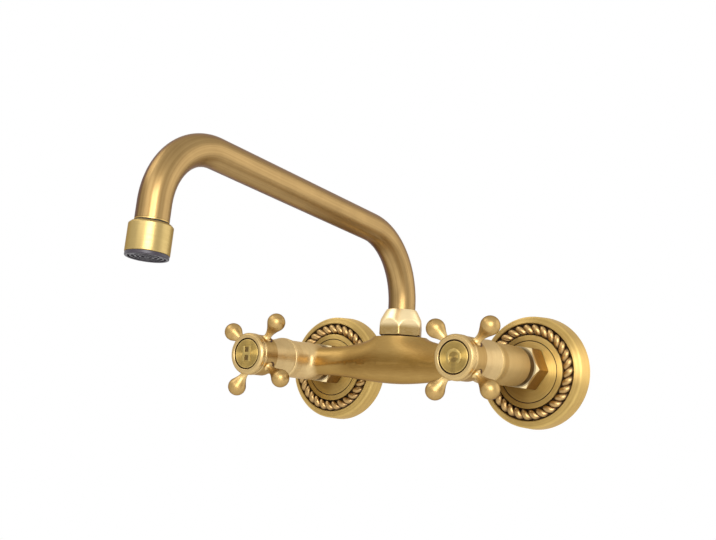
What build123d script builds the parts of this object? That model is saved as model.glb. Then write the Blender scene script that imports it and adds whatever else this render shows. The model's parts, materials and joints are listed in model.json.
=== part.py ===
from build123d import *
import math
import os

# Wall-mounted two-handle kitchen faucet, in millimetres.
# X runs right along the wall, Y runs into the wall, Z is up. The origin is on the wall
# face, midway between the two inlets. A depth is a distance out from the wall.

os.makedirs("parts", exist_ok=True)

# Overall places
inlet_spacing = 150.0
body_rise = 2.0

# Fits: a running fit turns, a thread fit is screwed, a seal gap is a light squeeze
running_gap = 0.05
thread_gap = 0.05
seal_gap = 0.03
face_gap = 0.1
free_gap = 0.2

# Small edges: a chamfer at a thread's end, and the rounding of a worked edge
thread_chamfer = 0.8
edge_break = 0.4
thread_runout = 0.8

# Pipe threads, drawn as plain cylinders at their outer diameter
half_inch_r = 10.48
nipple_thread_r = 8.33

# Wall flange with its rope ring
flange_r = 35.0
flange_taper = 0.6
flange_rim_depth = 10.9
flange_rim_round = 0.9
flange_plate_rise = 2.5
flange_wall = 1.9
flange_hub_rise = 0.5
rope_inset = 8.7
rope_width = 6.9
rope_pitch = 5.33
rope_strand_r = 2.3
rope_tilt = 36.0
rope_bed = 1.8
rope_sink = 0.7
ring_groove_inset = 7.2
ring_groove_width = 0.5
ring_groove_deep = 0.6

# Eccentric connector between wall pipe and union nut
eccentric_wall_length = 13.0
eccentric_tap_length = 9.6
eccentric_bore_r = 7.0
eccentric_neck_r = 9.9
eccentric_neck_start = 2.0
eccentric_neck_length = 6.5
eccentric_flat_deep = 0.8

# Union nut, washer and inlet nipple
union_nut_wall = 1.9
union_nut_lip = 1.7
union_nut_chamfer_depth = 3.0
union_nut_turn = -6.0
union_washer_thickness = 2.0
union_washer_bore_r = 7.2
nipple_r = 8.2
nipple_shoulder = 2.1
nipple_bore_r = 6.0
nipple_thread_length = 5.4

# Valve cylinders of the body
body_standoff = 4.9
cylinder_length = 35.1
cylinder_wall = 1.57
lip_rise = 0.9
lip_length = 2.6
lip_fade = 6.0
lip_fade_round = 18.0
lip_round = 0.7
seat_web = 1.9
seat_bore_r = 5.0
chamber_gap = 1.1
bonnet_thread_length = 10.0

# Bridge and spout boss of the body
bridge_end_r = 9.2
bridge_back_margin = 0.6
bridge_lift = 3.6
bridge_lift_half = 42.0
bridge_squareness = 0.9
bridge_sections = 17
bridge_section_points = 9
bridge_blend = 4.0
bridge_end_margin = 0.9
bridge_bore_r = 4.8
bridge_bore_forward = 3.0
boss_height = 15.8
boss_shoulder = 3.2
boss_over_bridge = 0.2
boss_flare = 11.0
boss_flare_height = 5.0
spigot_height = 8.7
spigot_wall = 2.58
spigot_floor_gap = 10.5

# Headwork
cage_wall = 1.1
cage_start_gap = 1.1
seal_lift = 1.2
bonnet_window_length = 4.0
bonnet_window_width = 7.0
bonnet_seal_thickness = 0.7
bonnet_seal_width = 1.2
bonnet_flange_overhang = 0.92
bonnet_flange = 1.7
bonnet_hex_across_flats = 17.0
bonnet_hex_length = 4.4
bonnet_barrel_r = 7.6
bonnet_barrel_length = 9.9
spindle_r = 4.5
spindle_neck_r = 4.0
spindle_stop_r = 5.6
spindle_stop_length = 2.8
spindle_lug_angle = 80.0
valve_travel = 90.0
stop_margin = 1.0
stop_rib_gap = 0.15
tang_width = 3.0
tang_length = 11.0
tang_depth = 1.4
disc_r = 7.0
disc_thickness = 3.0
disc_port_angle = 80.0
disc_port_inner_r = 1.9
disc_port_outer_r = 5.6
seal_inner_r = 5.2
spindle_ring_section_r = 0.9
spindle_ring_places = (3.8, 8.8)
ring_groove_extra = 0.15
clip_thickness = 0.8
clip_r = 5.2
clip_groove_r = 3.3
clip_mouth = 5.0

# Shroud between body and handle
shroud_front_r = 11.1
shroud_back_gap = 0.4
shroud_flare = 7.6
shroud_flare_round = 14.0
shroud_wall = 0.9
shroud_thread_length = 5.8
shroud_front_wall = 0.9
shroud_front_round = 0.5

# Cross handle
hub_r = 12.8
hub_length = 16.4
hub_clearance = 0.7
hub_rim_rise = 0.35
hub_rim_length = 5.8
hub_bead = 1.5
hub_line = 0.9
hub_line_deep = 0.45
hub_shoulder = 1.2
hub_shoulder_round = 0.7
cap_groove = 0.6
cap_recess = 2.2
spline_teeth = 20
spline_tip_r = 4.0
spline_root_r = 3.6
spline_spare = 0.4
arm_inset = 10.1
arm_root_r = 3.1
arm_neck_r = 2.2
arm_neck_reach = 2.6
arm_ball_r = 5.7
arm_ball_reach = 12.2
arm_ball_join = 120.0
arm_groove = 0.6
hot_handle_turn = 9.9
cold_handle_turn = 2.6
screw_head_r = 3.6
screw_head = 2.4
screw_shank_r = 2.0
screw_length = 11.0
screw_head_room = 0.8
screw_pocket_gap = 1.0
screw_web = 1.6
screw_socket_r = 1.25

# Index cap
cap_r = 9.15
cap_thickness = 1.75
cap_skirt_inset = 0.75
cap_skirt_wall = 0.8
cap_skirt_depth = 1.6
letter_height = 9.6
letter_width = 6.4
letter_stroke = 1.7
letter_relief = 0.35
letter_mouth_angle = 80.0

# Spout nut and swivel
spout_nut_wall = 2.22
spout_nut_gap = 1.1
spout_nut_flats = 5.1
spout_nut_arch = 10.1
spout_nut_crown = 5.0
spout_nut_turn = -2.5
spout_nut_hole_gap = 0.3
tail_length = 17.1
tail_collar_step = 1.1
tail_collar = 2.0
tail_collar_gap = 0.78
tail_wall = 2.65
tail_plug = 7.0
tail_ring_section_r = 0.8
tail_ring_places = (4.5, 10.5)
slip_ring_thickness = 1.6

# Spout tube: a riser, a long run that climbs gently, and a drop that leans outward
tube_r = 8.6
tube_wall = 1.0
riser_corner = 78.1
riser_bend_r = 44.8
run_slope = 5.7
run_length = 221.6
drop_bend_r = 37.2
drop_length = 46.2
drop_lean = 5.0

# Outlet and aerator, measured along the drop from the tube's end
ferrule_rim = 0.6
ferrule_neck_inset = 0.9
ferrule_gap = 0.9
ferrule_plug = 8.0
ferrule_bore_r = 6.4
outlet_thread_step = 1.3
outlet_thread_length = 6.8
outlet_ring_section_r = 0.4
housing_wall = 1.15
housing_length = 15.1
housing_top_chamfer = 1.1
aerator_washer_thickness = 1.2
aerator_screen_thickness = 0.4
screen_rows = 2
screen_hole_r = 0.8
screen_hole_pitch = 2.6
insert_wall = 1.4
insert_floor = 1.2
insert_rim_inset = 0.2
insert_rim_width = 1.5
insert_rim_height = 1.9
insert_face_sink = 0.9
insert_ring_count = 4
insert_ring_width = 0.8
insert_ring_height = 0.5
insert_hole_r = 0.45

# Worked out from the sizes above
valve_x = inlet_spacing / 2
flange_plate_depth = flange_rim_depth + flange_plate_rise
flange_hub_depth = flange_plate_depth + flange_hub_rise
rope_mean_r = flange_r - rope_inset
rope_bed_depth = flange_plate_depth - rope_bed
ring_groove_r = rope_mean_r - ring_groove_inset
flange_joint_depth = flange_hub_depth + face_gap
union_nut_back_depth = flange_hub_depth + edge_break
union_nut_across_flats = 2 * (half_inch_r + union_nut_wall)
eccentric_front = flange_joint_depth + eccentric_tap_length
washer_front = eccentric_front + union_washer_thickness
shoulder_front = washer_front + nipple_shoulder
union_nut_front = shoulder_front + free_gap + union_nut_lip
cylinder_back_depth = union_nut_front + body_standoff
cylinder_front_depth = cylinder_back_depth + cylinder_length
cylinder_r = half_inch_r + thread_gap + cylinder_wall
lip_r = cylinder_r + lip_rise
spout_depth = cylinder_back_depth + bridge_back_margin + bridge_end_r
bridge_taper_half = valve_x - cylinder_r - bridge_blend - bridge_end_margin
socket_end = cylinder_back_depth + nipple_thread_length + edge_break
seat_depth = socket_end + seat_web
cage_bore_r = disc_r + face_gap
cage_r = cage_bore_r + cage_wall
chamber_r = cage_r + chamber_gap
cage_start = seat_depth + cage_start_gap
fixed_disc_start = cage_start + seal_lift
moving_disc_start = fixed_disc_start + disc_thickness
moving_disc_end = moving_disc_start + disc_thickness
window_end = moving_disc_end + bonnet_window_length
stop_start = window_end + edge_break
pocket_end = stop_start + spindle_stop_length
bonnet_thread_start = cylinder_front_depth - bonnet_thread_length
bonnet_flange_start = cylinder_front_depth + bonnet_seal_thickness
bonnet_flange_r = half_inch_r + bonnet_flange_overhang
bonnet_hex_start = bonnet_flange_start + bonnet_flange
bonnet_barrel_start = bonnet_hex_start + bonnet_hex_length
bonnet_front = bonnet_barrel_start + bonnet_barrel_length
clip_start = bonnet_front + face_gap
shroud_front = clip_start + clip_thickness + face_gap
hub_back = shroud_front + hub_clearance
hub_front = hub_back + hub_length
hub_rim_r = hub_r + hub_rim_rise
cap_recess_r = cap_r + cap_groove
cap_seat = hub_front - cap_recess
screw_seat = cap_seat - screw_head - screw_head_room
spline_end = screw_seat - screw_web
arm_depth = hub_front - arm_inset
boss_top = body_rise + boss_height
tail_collar_r = tube_r + tail_collar_step
spigot_thread_r = tail_collar_r + tail_collar_gap
spigot_bore_r = spigot_thread_r - spigot_wall
boss_r = spigot_thread_r + boss_shoulder
bridge_mid_r = boss_r - boss_over_bridge
spigot_top = boss_top + spigot_height
collar_bottom = spigot_top + face_gap
collar_top = collar_bottom + tail_collar
tail_bottom = collar_bottom - tail_length
spigot_floor = tail_bottom - spigot_floor_gap
tube_bore_r = tube_r - tube_wall
plug_r = tube_bore_r - seal_gap
spout_nut_bottom = boss_top + spout_nut_gap
spout_nut_across_flats = 2 * (spigot_thread_r + thread_gap + spout_nut_wall)
spout_nut_roof = collar_top + slip_ring_thickness + running_gap
spout_nut_top = spout_nut_roof + spout_nut_crown
outlet_thread_r = tube_r + outlet_thread_step
ferrule_neck_r = tube_r - ferrule_neck_inset
ferrule_collar_start = ferrule_rim + ferrule_gap
outlet_thread_end = ferrule_collar_start + outlet_thread_length
housing_bore_r = outlet_thread_r + thread_gap
housing_r = housing_bore_r + housing_wall
housing_top = ferrule_collar_start + face_gap
housing_end = housing_top + housing_length
washer_end = outlet_thread_end + aerator_washer_thickness
screen_end = washer_end + aerator_screen_thickness
insert_rim_start = housing_end + running_gap
insert_rim_r = housing_r - insert_rim_inset
insert_rim_inner_r = insert_rim_r - insert_rim_width
insert_end = insert_rim_start + insert_rim_height
insert_face = insert_end - insert_face_sink


def outline(*corners):
    """A closed face from (across, along, rounding) corners; the rounding may be left out."""
    points = [corner[:2] for corner in corners]
    roundings = [corner[2] if len(corner) > 2 else 0 for corner in corners]
    return make_face(FilletPolyline(*points, radius=roundings, close=True))


def turned(*corners):
    """A piece turned about the valve axis, from (radius, depth, rounding) corners."""
    face = outline(*[(corner[0], -corner[1], *corner[2:]) for corner in corners])
    return revolve(face, Axis.Y)


def upright(*corners):
    """A piece turned about the vertical axis, from (radius, height, rounding) corners."""
    return revolve(Plane.XZ * outline(*corners), Axis.Z)


def tube_about_y(inner_r, outer_r, start, end):
    return turned((inner_r, start), (outer_r, start), (outer_r, end), (inner_r, end))


def tube_about_z(inner_r, outer_r, bottom, top):
    return upright((inner_r, bottom), (outer_r, bottom), (outer_r, top), (inner_r, top))


def across_valve(sketch, start, end):
    """A flat shape seen from the front, from one depth to another along the valve axis."""
    front = Plane(origin=(0, -start, 0), x_dir=(1, 0, 0), z_dir=(0, -1, 0))
    return extrude(front * sketch, end - start)


def clockwise_back(piece, angle):
    """Turns a piece about the valve axis, anticlockwise as seen from the front."""
    return piece.rotate(Axis((0, 0, 0), (0, -1, 0)), angle)


def sector(inner_r, outer_r, start_angle, sweep_angle):
    """A slice of a ring, the angles measured anticlockwise as seen from the front."""
    outer = CenterArc((0, 0), outer_r, start_angle, sweep_angle)
    inner = CenterArc((0, 0), inner_r, start_angle, sweep_angle)
    first = Line(outer @ 0, inner @ 0)
    last = Line(inner @ 1, outer @ 1)
    return make_face([outer, last, inner, first])


def star(teeth, tip_r, root_r):
    points = []
    for step in range(2 * teeth):
        radius = root_r if step % 2 else tip_r
        angle = math.pi * step / teeth
        points.append((radius * math.cos(angle), radius * math.sin(angle)))
    return make_face(Polyline(*points, close=True))


def hexagon(across_flats):
    return RegularPolygon(across_flats / 2, 6, major_radius=False)


def at_valve(piece, side):
    return Pos(side * valve_x, 0, body_rise) * piece


def at_wall_pipe(piece, side):
    return Pos(side * valve_x, 0, 0) * piece


def at_spout(piece):
    return Pos(0, -spout_depth, 0) * piece


def clocked(piece, side):
    """Puts a headwork piece on its valve at the angle where its thread came tight."""
    turn = hot_handle_turn if side < 0 else cold_handle_turn
    return at_valve(clockwise_back(piece, turn), side)


# Wall flange

def rope_strand():
    """One strand of the rope: a short round-ended bar lying across the ring at a tilt."""
    half = (rope_width / 2 - rope_strand_r) / math.cos(math.radians(rope_tilt))
    bar = Rot(0, 90, 0) * Cylinder(rope_strand_r, 2 * half)
    bar += Pos(half, 0, 0) * Sphere(rope_strand_r)
    bar += Pos(-half, 0, 0) * Sphere(rope_strand_r)
    depth = rope_bed_depth + rope_sink
    return Pos(rope_mean_r, -depth, 0) * clockwise_back(bar, rope_tilt)


def wall_flange():
    rim_r = flange_r - flange_taper
    rope_outer = rope_mean_r + rope_width / 2
    rope_inner = rope_mean_r - rope_width / 2
    groove_outer = ring_groove_r + ring_groove_width / 2
    groove_inner = ring_groove_r - ring_groove_width / 2
    groove_depth = flange_plate_depth - ring_groove_deep
    hole = half_inch_r + thread_gap
    under_plate = flange_hub_depth - 1.3 * flange_wall
    under_rope = rope_bed_depth - flange_wall
    inside_r = flange_r - flange_wall
    inside_turn = flange_rim_depth / 2
    cover = turned(
        (flange_r, 0), (rim_r, flange_rim_depth, flange_rim_round),
        (rope_outer + 0.3, flange_plate_depth, edge_break), (rope_outer, rope_bed_depth, edge_break),
        (rope_inner, rope_bed_depth, edge_break), (rope_inner - 0.2, flange_plate_depth, edge_break),
        (groove_outer, flange_plate_depth), (groove_outer - 0.05, groove_depth),
        (groove_inner + 0.05, groove_depth), (groove_inner, flange_plate_depth),
        (hole, flange_hub_depth), (hole, under_plate),
        (rope_inner, under_rope + 0.4), (rope_outer, under_rope, 1.0),
        (inside_r, inside_turn, 1.0), (inside_r + 0.1, 0),
    )
    strand = rope_strand()
    count = round(2 * math.pi * rope_mean_r / rope_pitch)
    strands = [strand.rotate(Axis.Y, 360 * place / count) for place in range(count)]
    return cover.fuse(*strands)


# Eccentric connector, union nut, washer and nipple

def eccentric():
    start = -eccentric_wall_length
    neck_end = eccentric_neck_start + eccentric_neck_length
    # A plain neck with two spanner flats parts the pipe thread from the cover's thread
    wall_end = turned(
        (0, start), (half_inch_r - thread_chamfer, start), (half_inch_r, start + thread_chamfer),
        (half_inch_r, eccentric_neck_start), (eccentric_neck_r, eccentric_neck_start),
        (eccentric_neck_r, neck_end), (half_inch_r, neck_end),
        (half_inch_r, flange_joint_depth), (0, flange_joint_depth),
    )
    flat_middle = eccentric_neck_start + eccentric_neck_length / 2
    flat_block = Box(2 * half_inch_r, eccentric_neck_length - 2 * edge_break, 3 * half_inch_r)
    for sign in (-1, 1):
        offset = sign * (half_inch_r + eccentric_neck_r - eccentric_flat_deep)
        wall_end -= Pos(offset, -flat_middle, 0) * flat_block
    tap_end = turned(
        (0, flange_joint_depth), (half_inch_r, flange_joint_depth),
        (half_inch_r, eccentric_front - thread_chamfer),
        (half_inch_r - thread_chamfer, eccentric_front), (0, eccentric_front),
    )
    bore = turned(
        (0, start - 1), (eccentric_bore_r, start - 1),
        (eccentric_bore_r, eccentric_front + 1), (0, eccentric_front + 1),
    )
    whole = wall_end + Pos(0, 0, body_rise) * tap_end
    return whole - Pos(0, 0, body_rise / 2) * bore


def union_nut():
    corner_r = union_nut_across_flats / math.sqrt(3)
    hole = nipple_r + free_gap
    thread = half_inch_r + thread_gap
    inside_lip = union_nut_front - union_nut_lip
    shape = turned(
        (thread, union_nut_back_depth), (corner_r - edge_break, union_nut_back_depth),
        (corner_r, union_nut_back_depth + edge_break),
        (corner_r, union_nut_front - union_nut_chamfer_depth),
        (union_nut_across_flats / 2, union_nut_front, edge_break), (hole, union_nut_front),
        (hole, inside_lip), (thread, inside_lip),
    )
    prism = across_valve(hexagon(union_nut_across_flats), union_nut_back_depth - 1, union_nut_front + 1)
    return clockwise_back(shape & prism, union_nut_turn)


def union_washer():
    return tube_about_y(union_washer_bore_r, half_inch_r - free_gap, eccentric_front, washer_front)


def inlet_nipple():
    shoulder_r = half_inch_r - free_gap
    thread_start = cylinder_back_depth + face_gap
    thread_end = cylinder_back_depth + nipple_thread_length
    return turned(
        (nipple_bore_r, washer_front), (shoulder_r, washer_front),
        (shoulder_r, shoulder_front), (nipple_r, shoulder_front),
        (nipple_r, cylinder_back_depth), (nipple_thread_r, thread_start),
        (nipple_thread_r, thread_end), (nipple_bore_r, thread_end),
    )


# Body

def swell(distance, half):
    """One at the middle, falling smoothly to nothing at the given distance."""
    if abs(distance) >= half:
        return 0.0
    return (1 + math.cos(math.pi * distance / half)) / 2


def bridge_section(place):
    """The bridge cut across: a half circle below, a fuller, taller curve above."""
    half_width = bridge_end_r + (bridge_mid_r - bridge_end_r) * swell(place, bridge_taper_half)
    lift = swell(place, bridge_lift_half)
    height = half_width + bridge_lift * lift
    power = 2 / (2 + bridge_squareness * lift)
    start = (half_width, 0)
    end = (-half_width, 0)
    lower = ThreePointArc(end, (0, -half_width), start)
    upper = ThreePointArc(start, (0, height), end)
    if lift > 0:
        points = []
        for step in range(1, bridge_section_points - 1):
            angle = math.pi * step / (bridge_section_points - 1)
            across = math.copysign(abs(math.cos(angle)) ** power, math.cos(angle))
            points.append((half_width * across, height * math.sin(angle) ** power))
        upper = Spline(start, *points, end, tangents=((0, 1), (0, -1)))
    plane = Plane(origin=(place, -spout_depth, body_rise), x_dir=(0, 1, 0), z_dir=(1, 0, 0))
    return plane * make_face([upper, lower])


def bridge():
    step = 2 * bridge_taper_half / (bridge_sections - 1)
    sections = [bridge_section(-bridge_taper_half + step * place) for place in range(bridge_sections)]
    return loft(sections)


def spout_boss():
    """A round seat under the spout nut, spreading along the bridge as it goes down."""
    heights = (boss_top, boss_top - boss_flare_height, boss_top - 2 * boss_flare_height)
    spreads = (0, boss_flare * 0.3, boss_flare)
    sections = []
    for height, spread in zip(heights, spreads):
        sections.append(Pos(0, 0, height) * Ellipse(boss_r + spread, boss_r))
    return loft(sections)


def valve_cylinder():
    """A valve cylinder with the plain end of the bridge blended into it."""
    lip_start = cylinder_front_depth - lip_length
    cylinder = turned(
        (0, cylinder_back_depth - bridge_blend), (cylinder_r, cylinder_back_depth - bridge_blend),
        (cylinder_r, lip_start - lip_fade, lip_fade_round), (lip_r, lip_start, lip_length),
        (lip_r, cylinder_front_depth, lip_round), (0, cylinder_front_depth),
    )
    reach = valve_x - bridge_taper_half
    end = Pos(-reach / 2, -spout_depth, 0) * Rot(0, 90, 0) * Cylinder(bridge_end_r, reach)
    joined = cylinder + end
    joint = joined.edges().filter_by(
        lambda edge: edge.bounding_box().min.X < -cylinder_r / 2
        and edge.geom_type not in (GeomType.CIRCLE, GeomType.LINE)
    )
    joined = fillet(joint, bridge_blend)
    beyond = Box(6 * cylinder_r, 2 * cylinder_r, 4 * cylinder_r)
    return joined - Pos(0, cylinder_r - cylinder_back_depth, 0) * beyond


def body_shell():
    above = Box(inlet_spacing, 6 * boss_r, 2 * boss_r)
    shell = bridge() + at_spout(spout_boss())
    shell -= Pos(0, -spout_depth, boss_top + boss_r) * above
    cylinder = valve_cylinder()
    shell += at_valve(cylinder, 1)
    return shell + at_valve(Rot(0, 180, 0) * cylinder, -1)


def valve_passage():
    """Everything bored out of a valve cylinder, from the inlet thread to the bonnet thread."""
    inlet_r = nipple_thread_r + thread_gap
    outlet_r = half_inch_r + thread_gap
    runout = bonnet_thread_start - thread_runout
    return turned(
        (0, cylinder_back_depth - 1), (inlet_r, cylinder_back_depth - 1), (inlet_r, socket_end),
        (seat_bore_r, socket_end), (seat_bore_r, seat_depth), (chamber_r, seat_depth),
        (chamber_r, runout), (outlet_r, runout), (outlet_r, cylinder_front_depth + 1),
        (0, cylinder_front_depth + 1),
    )


def body():
    spigot = upright(
        (spigot_bore_r, boss_top - 2), (spigot_thread_r, boss_top - 2),
        (spigot_thread_r, spigot_top, edge_break), (spigot_bore_r, spigot_top),
    )
    spout_bore = upright(
        (0, spigot_floor), (spigot_bore_r, spigot_floor, 1.0),
        (spigot_bore_r, spigot_top + 1), (0, spigot_top + 1),
    )
    bridge_bore = Rot(0, 90, 0) * Cylinder(bridge_bore_r, inlet_spacing)
    whole = body_shell() + at_spout(spigot)
    whole -= at_spout(spout_bore)
    for side in (-1, 1):
        whole -= at_valve(valve_passage(), side)
    return whole - Pos(0, -spout_depth - bridge_bore_forward, body_rise) * bridge_bore


# Headwork

def valve_bonnet():
    thread_start = bonnet_thread_start + thread_chamfer
    thread_end = cylinder_front_depth - edge_break
    neck_r = half_inch_r - edge_break
    spindle_bore = spindle_r + running_gap
    shape = turned(
        (cage_bore_r, cage_start), (cage_r, cage_start), (cage_r, thread_start),
        (half_inch_r, thread_start + edge_break), (half_inch_r, thread_end),
        (neck_r, thread_end), (neck_r, bonnet_flange_start),
        (bonnet_flange_r, bonnet_flange_start), (bonnet_flange_r, bonnet_hex_start),
        (bonnet_barrel_r, bonnet_hex_start), (bonnet_barrel_r, bonnet_front, edge_break),
        (spindle_bore, bonnet_front), (spindle_bore, pocket_end), (cage_bore_r, pocket_end),
    )
    hex_face = hexagon(bonnet_hex_across_flats) - Circle(spindle_bore)
    bonnet = shape + across_valve(hex_face, bonnet_hex_start, bonnet_barrel_start)
    for size in ((bonnet_window_width, 3 * cage_r), (3 * cage_r, bonnet_window_width)):
        bonnet -= across_valve(Rectangle(*size), moving_disc_end, window_end)
    rib_start = spindle_lug_angle + valve_travel + stop_margin
    rib_sweep = 360 - rib_start - stop_margin
    rib = sector(spindle_stop_r + stop_rib_gap, cage_bore_r + cage_wall / 2, rib_start, rib_sweep)
    return bonnet + across_valve(rib, stop_start, pocket_end + cage_wall / 2)


def valve_spindle():
    flange_start = stop_start + face_gap
    flange_end = pocket_end - face_gap
    front_r = spindle_neck_r - face_gap
    front_start = clip_start + clip_thickness
    ring_groove = spindle_r + running_gap - 2 * spindle_ring_section_r - 2 * seal_gap
    stem = turned(
        (0, moving_disc_end), (spindle_neck_r, moving_disc_end), (spindle_neck_r, flange_start),
        (spindle_stop_r, flange_start), (spindle_stop_r, flange_end), (spindle_r, flange_end),
        (spindle_r, clip_start), (clip_groove_r, clip_start), (clip_groove_r, front_start),
        (front_r, front_start + face_gap), (front_r, hub_back), (0, hub_back),
    )
    teeth = star(spline_teeth, spline_tip_r, spline_root_r)
    stem += across_valve(teeth, hub_back - edge_break, spline_end - spline_spare)
    lug = sector(spindle_neck_r, cage_bore_r - stop_rib_gap, 0, spindle_lug_angle)
    stem += across_valve(lug, flange_start, flange_end)
    tang = Rectangle(tang_length, tang_width)
    stem += across_valve(tang, moving_disc_end - tang_depth, moving_disc_end + edge_break)
    half_groove = spindle_ring_section_r + ring_groove_extra
    for place in spindle_ring_places:
        middle = pocket_end + place
        stem -= tube_about_y(ring_groove, spindle_r + 1, middle - half_groove, middle + half_groove)
    hole = Circle(screw_shank_r + seal_gap)
    return stem - across_valve(hole, screw_seat - screw_length - 1, spline_end + 1)


def spindle_o_rings():
    mean = spindle_r + running_gap - seal_gap - spindle_ring_section_r
    ring = Rot(90, 0, 0) * Torus(mean, spindle_ring_section_r)
    return [Pos(0, -pocket_end - place, 0) * ring for place in spindle_ring_places]


def spindle_clip():
    mouth = Pos(clip_r, 0) * Rectangle(2 * clip_r, clip_mouth)
    plate = Circle(clip_r) - Circle(clip_groove_r + running_gap) - mouth
    return across_valve(plate, clip_start + seal_gap, clip_start + clip_thickness - seal_gap)


def disc_ports(turn):
    start = turn - disc_port_angle / 2
    near = sector(disc_port_inner_r, disc_port_outer_r, start, disc_port_angle)
    return near + sector(disc_port_inner_r, disc_port_outer_r, start + 180, disc_port_angle)


def disc_fixed():
    return across_valve(Circle(disc_r) - disc_ports(90), fixed_disc_start, moving_disc_start)


def disc_moving():
    face = Circle(disc_r) - disc_ports(90 - valve_travel)
    disc = across_valve(face, moving_disc_start, moving_disc_end)
    slot = Rectangle(tang_length + 2 * face_gap, tang_width + face_gap)
    return disc - across_valve(slot, moving_disc_end - tang_depth - face_gap, moving_disc_end + 1)


def seat_seal():
    return tube_about_y(seal_inner_r, disc_r, seat_depth, fixed_disc_start)


def bonnet_seal():
    inner = half_inch_r + face_gap
    return tube_about_y(inner, inner + bonnet_seal_width, cylinder_front_depth, bonnet_flange_start)


def bonnet_shroud():
    back = cylinder_front_depth + shroud_back_gap
    inside_back = lip_r - shroud_wall
    inside_front = shroud_front_r - shroud_wall
    flare_end = back + shroud_flare
    thread = bonnet_barrel_r + thread_gap
    bore = clip_r + 3 * free_gap
    thread_start = shroud_front - shroud_thread_length
    thread_end = shroud_front - shroud_front_wall
    return turned(
        (inside_back, back), (lip_r, back, edge_break / 2), (shroud_front_r, flare_end, shroud_flare_round),
        (shroud_front_r, shroud_front, shroud_front_round), (bore, shroud_front),
        (bore, thread_end), (thread, thread_end), (thread, thread_start),
        (inside_front, thread_start), (inside_front, flare_end - shroud_wall),
        (inside_back, back + bonnet_flange),
    )


# Cross handle

def handle_arm():
    """One arm: a flared root, a neck and a drop-shaped end."""
    neck_place = hub_r + arm_neck_reach
    ball_place = hub_r + arm_ball_reach
    join = math.radians(arm_ball_join)
    root_end = (hub_r + free_gap, arm_root_r)
    ball_start = (ball_place + arm_ball_r * math.cos(join), arm_ball_r * math.sin(join))
    ball_side = (ball_place + arm_ball_r * math.cos(join / 2), arm_ball_r * math.sin(join / 2))
    tip = (ball_place + arm_ball_r, 0)
    along_root = (0.35, -1)
    along_ball = (math.sin(join), -math.cos(join))
    neck = Spline(root_end, (neck_place, arm_neck_r), ball_start, tangents=(along_root, along_ball))
    ball = ThreePointArc(ball_start, ball_side, tip)
    edge = Polyline(tip, (cap_recess_r, 0), (cap_recess_r, arm_root_r), root_end)
    return Pos(0, -arm_depth, 0) * revolve(make_face([neck, ball, edge]), Axis.X)


def cross_handle():
    rim_start = hub_front - hub_rim_length
    bead_end = rim_start + hub_bead
    line_end = bead_end + hub_line
    line_r = hub_rim_r - hub_line_deep
    front_r = hub_rim_r - face_gap
    spline_chamfer = edge_break + free_gap
    hub = turned(
        (0, hub_back), (hub_r - spline_chamfer, hub_back), (hub_r, hub_back + spline_chamfer),
        (hub_r, rim_start), (hub_rim_r, rim_start + 0.15, 0.12), (hub_rim_r, bead_end, 0.3),
        (line_r, bead_end + 0.35), (line_r, line_end - 0.2),
        (front_r, line_end, 0.3), (front_r, hub_front - hub_shoulder, hub_shoulder_round),
        (hub_rim_r - hub_shoulder, hub_front, hub_shoulder_round),
        (cap_recess_r + edge_break, hub_front, 0.2), (cap_recess_r, hub_front - edge_break),
        (cap_recess_r, cap_seat), (0, cap_seat),
    )
    crevice = Rot(0, 90, 0) * Cylinder(arm_root_r + arm_groove, 2 * arm_groove)
    crevice = Pos(hub_r, -arm_depth, 0) * crevice
    arm = handle_arm()
    angles = [45 + 90 * quarter for quarter in range(4)]
    for angle in angles:
        hub -= clockwise_back(crevice, angle)
    for angle in angles:
        hub += clockwise_back(arm, angle)
    socket = star(spline_teeth, spline_tip_r + running_gap, spline_root_r + running_gap)
    hub -= across_valve(socket, hub_back - 1, spline_end)
    hub -= across_valve(Circle(screw_shank_r + free_gap), spline_end - 1, screw_seat + 1)
    hub -= across_valve(Circle(screw_head_r + screw_pocket_gap), screw_seat, cap_seat + 1)
    skirt_outer = cap_r - cap_skirt_inset
    skirt_inner = skirt_outer - cap_skirt_wall
    skirt_pocket = Circle(skirt_outer + running_gap) - Circle(skirt_inner - running_gap)
    return hub - across_valve(skirt_pocket, cap_seat - cap_skirt_depth - free_gap, cap_seat + 1)


def handle_screw():
    head_end = screw_seat + screw_head
    shank = across_valve(Circle(screw_shank_r), screw_seat - screw_length, screw_seat + face_gap)
    head = turned((0, screw_seat), (screw_head_r, screw_seat), (screw_head_r, head_end, 0.3), (0, head_end))
    socket = RegularPolygon(screw_socket_r, 6, major_radius=False)
    return shank + head - across_valve(socket, screw_seat + screw_head / 2, head_end + 1)


def letter_h():
    """Two uprights and a bar: the plain sign for hot."""
    place = (letter_width - letter_stroke) / 2
    left = Pos(-place, 0) * Rectangle(letter_stroke, letter_height)
    right = Pos(place, 0) * Rectangle(letter_stroke, letter_height)
    return left + right + Rectangle(letter_width, letter_stroke)


def letter_c():
    """An open ring, its mouth turned down as in the photo: the plain sign for cold."""
    start = -90 + letter_mouth_angle / 2
    outer_r = letter_height / 2
    return sector(outer_r - letter_stroke, outer_r, start, 360 - letter_mouth_angle)


def index_cap(letter):
    top = cap_seat + cap_thickness
    skirt_outer = cap_r - cap_skirt_inset
    cap = turned((0, cap_seat), (cap_r, cap_seat), (cap_r, top, edge_break), (0, top))
    skirt = Circle(skirt_outer) - Circle(skirt_outer - cap_skirt_wall)
    cap += across_valve(skirt, cap_seat - cap_skirt_depth, cap_seat + free_gap)
    return cap + across_valve(letter, top - free_gap, top + letter_relief)


# Spout nut, swivel and tube

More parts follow.
